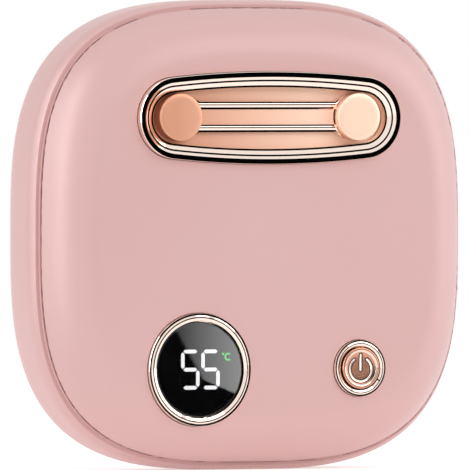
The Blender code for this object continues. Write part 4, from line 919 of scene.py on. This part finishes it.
# From the inner edge out: the wide inner slope, the top land, a short slope and the lower land
section = [
    (display_inner, top - 0.00032),
    (display_inner + 0.00002, top - 0.00025),
    (display_inner + 0.00054, top),
    (display_inner + 0.00078, top),
    (display_inner + 0.00106, top - 0.00017),
    (DISPLAY_RADIUS - 0.00005, top - 0.00017),
    (DISPLAY_RADIUS, top - 0.00024),
    (DISPLAY_RADIUS, flange),
    (skirt, flange),
    (skirt, skirt_bottom),
    (display_inner - DISPLAY_LEDGE_WIDTH, skirt_bottom),
    (display_inner - DISPLAY_LEDGE_WIDTH, ledge_top),
    (display_inner, ledge_top),
]
display_bezel = turned("display_ring", section, polished, (display_x, lower_y), steps=192, sharp=BAND_ANGLE)
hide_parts("display_bezel")
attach(display_bezel, "housing")

# Display lens
# A smoked acrylic window, die cut and polished at its edge, glued on the ring's ledge over the digits.
LENS_THICKNESS = 0.0014
SMOKE = "#404041"

# Smoked acrylic: near black where nothing is lit behind it, with a hard clear gloss on top
acrylic, tree, shader, coords = new_finish("smoked_acrylic_window")
dust = add(tree, "ShaderNodeTexNoise", {"Vector": coords, "Scale": 700.0, "Detail": 4.0})
rough = add(tree, "ShaderNodeMapRange", {"Value": dust, "To Min": 0.0, "To Max": 0.03})
fill(shader, {"Roughness": rough, "Base Color": SMOKE, "Transmission Weight": 1.0, "IOR": 1.49})

lens_radius = display_inner - GAP / 2
lens_bottom = ledge_top + GAP
lens_top = lens_bottom + LENS_THICKNESS
# Its upper edge is polished round in two small facets
section = [
    (0, lens_top),
    (lens_radius - 0.0003, lens_top),
    (lens_radius - 0.00009, lens_top - 0.00008),
    (lens_radius, lens_top - 0.0003),
    (lens_radius, lens_bottom),
    (0, lens_bottom),
]
lens = turned("display_window", section, acrylic, (display_x, lower_y), steps=160, sharp=BAND_ANGLE)
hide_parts("display_lens")
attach(lens, "housing")

# Lit digits and degree sign
# Two light guides moulded in milky acrylic, masked black except where their raised segments shine.
# The CAD's solids have the true forms, so they stay and take this material.
MASK_SLACK = 0.00005
GLOW = 19.0
relief_top = lens_bottom - GAP
for node, name, colour in (
    ("digit_light_guide", "lit_white_diffuser", "#FFFFFF"),
    ("celsius_light_guide", "lit_green_diffuser", "#48DC5A"),
):
    # Milky acrylic, lit from behind: an even glow on the raised forms, and a dull black mask round them
    lit, tree, shader, coords = new_finish(name)
    place = add(tree, "ShaderNodeSeparateXYZ", {0: coords})
    front_of_mask = -STAND_FORWARD - (relief_top - MASK_SLACK)
    raised = add(tree, "ShaderNodeMath", {0: place.outputs[1], 1: front_of_mask}, operation="LESS_THAN")
    haze = add(tree, "ShaderNodeTexNoise", {"Vector": coords, "Scale": 900.0, "Detail": 1.0})
    uneven = {"Value": haze, "To Min": GLOW * 0.94, "To Max": GLOW * 1.04}
    level = add(tree, "ShaderNodeMapRange", uneven)
    glow = add(tree, "ShaderNodeMath", {0: raised, 1: level}, operation="MULTIPLY")
    face = add(tree, "ShaderNodeMix", {"Factor": raised, 6: "#0A0A0B", 7: colour}, data_type="RGBA")
    fill(shader, {"Base Color": face, "Roughness": 0.5})
    fill(shader, {"Emission Strength": glow, "Emission Color": colour})
    dress(lit, node)

# Button bezel
# A smaller ring of the same plated zinc round the power button, with a wide polished inner slope.
BUTTON_PROUD = 0.00085
BUTTON_SKIRT_DEPTH = 0.0016
top = button_face + BUTTON_PROUD
flange = button_seat + GAP
skirt_bottom = flange - BUTTON_SKIRT_DEPTH
skirt = button_inner + BUTTON_SKIRT_WIDTH
# The same facets as the display ring's, narrower
section = [
    (button_inner, top - 0.00040),
    (button_inner + 0.00002, top - 0.00016),
    (button_inner + 0.00040, top),
    (button_inner + 0.00058, top),
    (button_inner + 0.00082, top - 0.00014),
    (BUTTON_RADIUS - 0.00004, top - 0.00014),
    (BUTTON_RADIUS, top - 0.00020),
    (BUTTON_RADIUS, flange),
    (skirt, flange),
    (skirt, skirt_bottom),
    (button_inner, skirt_bottom),
]
button_bezel = turned("button_ring", section, polished, (button_x, lower_y), steps=160, sharp=BAND_ANGLE)
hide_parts("button_bezel")
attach(button_bezel, "housing")

# Power button
# The cap is turned from aluminium, anodised rose gold, with a dished face and a rounded rim. The power
# sign, an open ring and a stroke, is pressed into the dish, and the cap slides in its ring.
CAP_PROUD = 0.0003
CAP_DISH = 0.00035
CAP_RIM_WIDTH = 0.00045
CAP_FLANGE_WIDTH = 0.0008
CAP_FLANGE_THICKNESS = 0.0009
cap_radius = button_inner - GAP
cap_top = top + CAP_PROUD
rim = cap_radius - CAP_RIM_WIDTH
flange_top = skirt_bottom - GAP
flange_bottom = flange_top - CAP_FLANGE_THICKNESS
dish = cap_top - CAP_DISH
DISH_STEPS = 100
SPIN_PITCH = 0.00030
GROOVES = (0.00320, 0.00346)
GROOVE_HALF = 0.00009
GROOVE_CUT = 0.00003

# Anodised aluminium, spun: satin, with fine turned rings about 0.3 mm apart round the middle
anodised, tree, shader, coords = new_finish("anodised_spun_aluminium")
button_middle = upright @ Vector((button_x, lower_y, 0))
centred = add(tree, "ShaderNodeMapping", {"Vector": coords, "Location": -button_middle})
flat = add(tree, "ShaderNodeVectorMath", {0: centred, 1: (1, 0, 1)}, operation="MULTIPLY")
reach = add(tree, "ShaderNodeVectorMath", {0: flat}, operation="LENGTH")
count = add(tree, "ShaderNodeMath", {0: reach, 1: math.tau / SPIN_PITCH}, operation="MULTIPLY")
ripple = add(tree, "ShaderNodeMath", {0: count}, operation="SINE")
wander = add(tree, "ShaderNodeTexNoise", {"Vector": coords, "Scale": 900.0, "Detail": 2.0})
mixed = add(tree, "ShaderNodeMath", {0: ripple, 1: wander}, operation="MULTIPLY")
bump = add(tree, "ShaderNodeBump", {"Height": mixed, "Strength": 0.25, "Distance": 0.00001})
rough = add(tree, "ShaderNodeMapRange", {"Value": wander, "To Min": 0.20, "To Max": 0.30})
fill(shader, {"Roughness": rough, "Normal": bump, "Base Color": "#CF957B", "Metallic": 1.0})

# Two fine grooves are turned into the dish round the sign
section = [(0, dish)]
for share in arc(0, 1, DISH_STEPS)[1:]:
    cut = max(0.0, 1 - min(abs(rim * share - groove) for groove in GROOVES) / GROOVE_HALF)
    section.append((rim * share, dish + CAP_DISH * share**7 - GROOVE_CUT * cut))
section += [
    (rim + 0.00018, cap_top),
    (cap_radius - 0.00012, cap_top - 0.00004),
    (cap_radius - 0.00003, cap_top - 0.00012),
    (cap_radius, cap_top - 0.00025),
    (cap_radius, flange_top),
    (cap_radius + CAP_FLANGE_WIDTH, flange_top),
    (cap_radius + CAP_FLANGE_WIDTH, flange_bottom),
    (0, flange_bottom),
]
cap = turned("button_face", section, anodised, (button_x, lower_y), steps=288)

# The sign is pressed in as a shallow bright V, ringed by a painted dark outline that stands in for dark
# reflections: an open ring, and a stroke that enters it from above
SIGN_RADIUS = 0.00232
SIGN_HALF_STROKE = 0.00020
PAINTED_OUTLINE_REACH = 0.00046
SIGN_DEPTH = 0.00009
SIGN_OPENING = math.radians(36)
SIGN_DROP = 0.00022
STROKE_TOP = 0.0028
STROKE_BOTTOM = -0.0001
SIGN_REACH = 0.97
behind_dish = -STAND_FORWARD - dish + GAP / 2
pressed = set()
painted_outline_verts = set()
for vertex in cap.data.vertices:
    x = vertex.co.x - button_middle.x
    z = vertex.co.z - button_middle.z + SIGN_DROP
    if math.hypot(x, z) > rim * SIGN_REACH or vertex.co.y > behind_dish:
        continue
    turn = math.atan2(x, z)
    near = math.copysign(max(abs(turn), SIGN_OPENING), turn)
    to_ring = math.hypot(x - SIGN_RADIUS * math.sin(near), z - SIGN_RADIUS * math.cos(near))
    to_stroke = math.hypot(x, z - min(max(z, STROKE_BOTTOM), STROKE_TOP))
    share = max(0.0, 1 - min(to_ring, to_stroke) / SIGN_HALF_STROKE)
    vertex.co.y += SIGN_DEPTH * share
    if share:
        pressed.add(vertex.index)
    # Faces this near the sign take a painted dark line in place of a dark reflection
    if min(to_ring, to_stroke) < PAINTED_OUTLINE_REACH:
        painted_outline_verts.add(vertex.index)
# Painted dark outline: a dull dark brown painted round the sign as a dark reflection, a little uneven
painted_dark_outline, tree, shader, coords = new_finish("painted_dark_reflection_outline")
pits = add(tree, "ShaderNodeTexNoise", {"Vector": coords, "Scale": 9000.0, "Detail": 2.0})
join_up(shader, ("#2A1914", "#4A2C23"), pits, (0.3, 0.00001), pits, Roughness=0.6)

# The die leaves the walls of the sign bright, and the grooves are bright too; the faces round the sign take
# the painted dark reflection outline
cap.data.materials.append(polished)
cap.data.materials.append(painted_dark_outline)
for face in cap.data.polygons:
    reach = math.hypot(face.center.x - button_middle.x, face.center.z - button_middle.z)
    grooved = min(abs(reach - groove) for groove in GROOVES) < GROOVE_HALF
    if pressed.issuperset(face.vertices) or grooved and face.center.y < behind_dish:
        face.material_index = 1
    elif painted_outline_verts.issuperset(face.vertices):
        face.material_index = 2
cap.data.update()
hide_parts("button_cap")
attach(cap, "power_button")

# Floor, lamps and camera
# A plain pale floor in an even white studio. The camera stands at the photograph's angle, a little to
# the left of the face and level with its middle, far off, so that uprights stay upright.
VIEW_TURN = math.radians(26.5)
VIEW_RISE = math.radians(0.7)
VIEW_DISTANCE = 3.0
FRAME_WIDTH = 0.0900
SENSOR = 36
FLOOR_SIZE = 4.0
FLOOR_LIGHTS = 0.25
FLOOR_SEEN = 0.42
STUDIO_LIGHTS = 0.575
STUDIO_SEEN = 1.0


def lit_or_seen(tree, lit, seen):
    """A strength for the light that is given, and another for what is seen, mirrored or looked through."""
    rays = add(tree, "ShaderNodeLightPath").outputs
    either = rays["Is Camera Ray"]
    for kind in ("Is Glossy Ray", "Is Transmission Ray"):
        either = add(tree, "ShaderNodeMath", {0: either, 1: rays[kind]}, operation="MAXIMUM")
    return add(tree, "ShaderNodeMapRange", {"Value": either, "To Min": lit, "To Max": seen})


# White paper sweep: a little of its white is its own to the camera and in reflections, so that it meets
# the background with no edge, and the object's shadow still shows on it
paper, tree, shader, coords = new_finish("white_paper_sweep")
own = lit_or_seen(tree, FLOOR_LIGHTS, FLOOR_SEEN)
fibre = add(tree, "ShaderNodeTexNoise", {"Vector": coords, "Scale": 1500.0})
bump = add(tree, "ShaderNodeBump", {"Height": fibre, "Strength": 0.05, "Distance": 0.00002})
fill(shader, {"Emission Strength": own, "Emission Color": "#FFFFFF", "Base Color": "#F4F4F4"})
fill(shader, {"Normal": bump, "Roughness": 0.9})
half = FLOOR_SIZE / 2
corners = [(-half, -half, 0), (half, -half, 0), (half, half, 0), (-half, half, 0)]
mesh = bpy.data.meshes.new("floor")
mesh.from_pydata(corners, [], [(0, 1, 2, 3)])
mesh.materials.append(paper)
placed("floor", mesh)

# White studio, all round
world = bpy.data.worlds.new("studio")
bpy.context.scene.world = world
world.use_nodes = True
tree = world.node_tree
tree.nodes.clear()
strength = lit_or_seen(tree, STUDIO_LIGHTS, STUDIO_SEEN)
sky = add(tree, "ShaderNodeBackground", {"Color": "#FFFFFF", "Strength": strength})
add(tree, "ShaderNodeOutputWorld", {"Surface": sky})

# The camera and the lamps aim at this point, near the middle of the body
middle = Vector((-0.00123, 0.000613, 0.0448))


def out_along(azimuth, elevation):
    """A direction from the object, turned right from the front and raised."""
    level = math.cos(elevation)
    return Vector((math.sin(azimuth) * level, -math.cos(azimuth) * level, math.sin(elevation)))


# Soft boxes: azimuth and elevation in degrees, distance, width, height and watts
for name, azimuth, elevation, distance, width, height, power in (
    ("key_box", 28, 33, 1.2, 0.9, 0.9, 3.9),
    ("left_strip", -100, 10, 0.9, 0.2, 1.0, 2.1),
    ("right_strip", 92, 12, 0.9, 0.3, 1.0, 0.3),
    ("top_strip", 0, 84, 0.9, 1.0, 0.2, 0.7),
    ("fill_box", -60, 10, 1.2, 0.9, 0.9, 0.1),
):
    data = bpy.data.lights.new(name, "AREA")
    data.shape = "RECTANGLE"
    data.size = width
    data.size_y = height
    data.energy = power
    lamp = placed(name, data)
    away = out_along(math.radians(azimuth), math.radians(elevation))
    lamp.location = middle + away * distance
    lamp.rotation_euler = away.to_track_quat("Z", "Y").to_euler()

data = bpy.data.cameras.new("camera")
data.sensor_width = SENSOR
data.lens = SENSOR * VIEW_DISTANCE / FRAME_WIDTH
data.clip_end = 100
camera = placed("camera", data)
away = out_along(-VIEW_TURN, VIEW_RISE)
camera.location = middle + away * VIEW_DISTANCE
camera.rotation_euler = away.to_track_quat("Z", "Y").to_euler()
bpy.context.scene.camera = camera
bpy.context.scene.view_settings.view_transform = "Standard"


def mirror_only_card(name, centre, facing, corners, finish):
    """A card that is seen in reflections alone: it gives no light and casts no shadow."""
    mesh = bpy.data.meshes.new(name)
    mesh.from_pydata([(x, y, 0) for x, y in corners], [], [list(range(len(corners)))])
    mesh.materials.append(finish)
    card = placed(name, mesh)
    across = Vector((0, 0, 1)).cross(facing).normalized()
    turn = Matrix((across, facing.cross(across), facing)).transposed().to_4x4()
    card.matrix_world = Matrix.Translation(centre) @ turn
    card.visible_camera = False
    card.visible_diffuse = False
    card.visible_transmission = False
    card.visible_shadow = False


def standing(width, height):
    """The corners of a card that stands on the floor."""
    return [(-width / 2, 0), (width / 2, 0), (width / 2, height), (-width / 2, height)]


# A black flag stands on the floor in front, a little to the right. Polished flats mirror it as black
FLAG_TURN = math.radians(15)
FLAG_DISTANCE = 0.3
FLAG_WIDTH = 0.26
FLAG_HEIGHT = 0.150
# Black flock: a deep, even black without any shine
flock, tree, shader, coords = new_finish("black_flocked_card")
nap = add(tree, "ShaderNodeTexNoise", {"Vector": coords, "Scale": 400.0})
shade = add(tree, "ShaderNodeMix", {"Factor": nap, 6: "#000000", 7: "#0D0D0D"}, data_type="RGBA")
fill(shader, {"Base Color": shade, "Specular IOR Level": 0.0, "Roughness": 1.0})
ahead = out_along(FLAG_TURN, 0)
mirror_only_card("black_flag", ahead * FLAG_DISTANCE, ahead, standing(FLAG_WIDTH, FLAG_HEIGHT), flock)

# Two tall white cards give metal and gloss a sheen: along edges that face right, and along the left rims.
# Azimuth in degrees, distance, width, height and strength
for name, azimuth, distance, width, height, power in (
    ("right_sheen", 68, 0.5, 0.20, 0.50, 2.2),
    ("left_sheen", -76, 0.5, 0.14, 0.60, 7.0),
):
    # Lit paper: white, a little uneven
    sheen, tree, shader, coords = new_finish(name + "_paper")
    fibre = add(tree, "ShaderNodeTexNoise", {"Vector": coords, "Scale": 60.0})
    level = add(tree, "ShaderNodeMapRange", {"Value": fibre, "To Min": 0.9 * power, "To Max": 1.1 * power})
    fill(shader, {"Emission Strength": level, "Emission Color": "#FFFFFF"})
    away = out_along(math.radians(azimuth), 0)
    mirror_only_card(name, away * distance, -away, standing(width, height), sheen)

# A small soft window, nearer than the flag, which only the display's glass mirrors
WINDOW_DISTANCE = 0.2
WINDOW_MARGIN = 0.0002
# The size of the photograph's pixel on the object, in metres
PIXEL = 1 / 5222
spread = (VIEW_DISTANCE + WINDOW_DISTANCE) / VIEW_DISTANCE
glass = upright @ Vector((display_x, lower_y, lens_top))
seen_along = (glass - camera.location).normalized()
mirrored_along = Vector((seen_along.x, -seen_along.y, seen_along.z))
# Window light: brighter towards the right, and faded in past two soft edges, each given by its direction
# on the card and, in pixels, where it begins and how far it takes
glow, tree, shader, coords = new_finish("soft_window")
place = add(tree, "ShaderNodeSeparateXYZ", {0: coords})
run = {"Value": place.outputs[0], "From Min": -20 * PIXEL, "From Max": 45 * PIXEL}
level = add(tree, "ShaderNodeMapRange", {**run, "To Min": 1.4, "To Max": 7.0})
for across, up, start, soft in ((0.878, 0.477, -3.7, 5.0), (0.394, 0.919, -8.4, 1.5)):
    reach = add(tree, "ShaderNodeVectorMath", {0: coords, 1: (across, up, 0)}, operation="DOT_PRODUCT")
    begin = start * PIXEL * spread
    ramp = {"Value": reach, "From Min": begin, "From Max": begin + soft * PIXEL * spread}
    edge = add(tree, "ShaderNodeMapRange", ramp, interpolation_type="SMOOTHSTEP")
    level = add(tree, "ShaderNodeMath", {0: level, 1: edge}, operation="MULTIPLY")
fill(shader, {"Emission Strength": level, "Emission Color": "#FFFFFF"})
fill(shader, {"Base Color": "#000000", "Specular IOR Level": 0.0})
half_up = (lens_radius - WINDOW_MARGIN) * spread
half_across = half_up * math.cos(VIEW_TURN)
ellipse = [(half_across * math.cos(turn), half_up * math.sin(turn)) for turn in arc(0, math.tau, 64)[:-1]]
mirror_only_card("window_card", glass + mirrored_along * WINDOW_DISTANCE, mirrored_along, ellipse, glow)
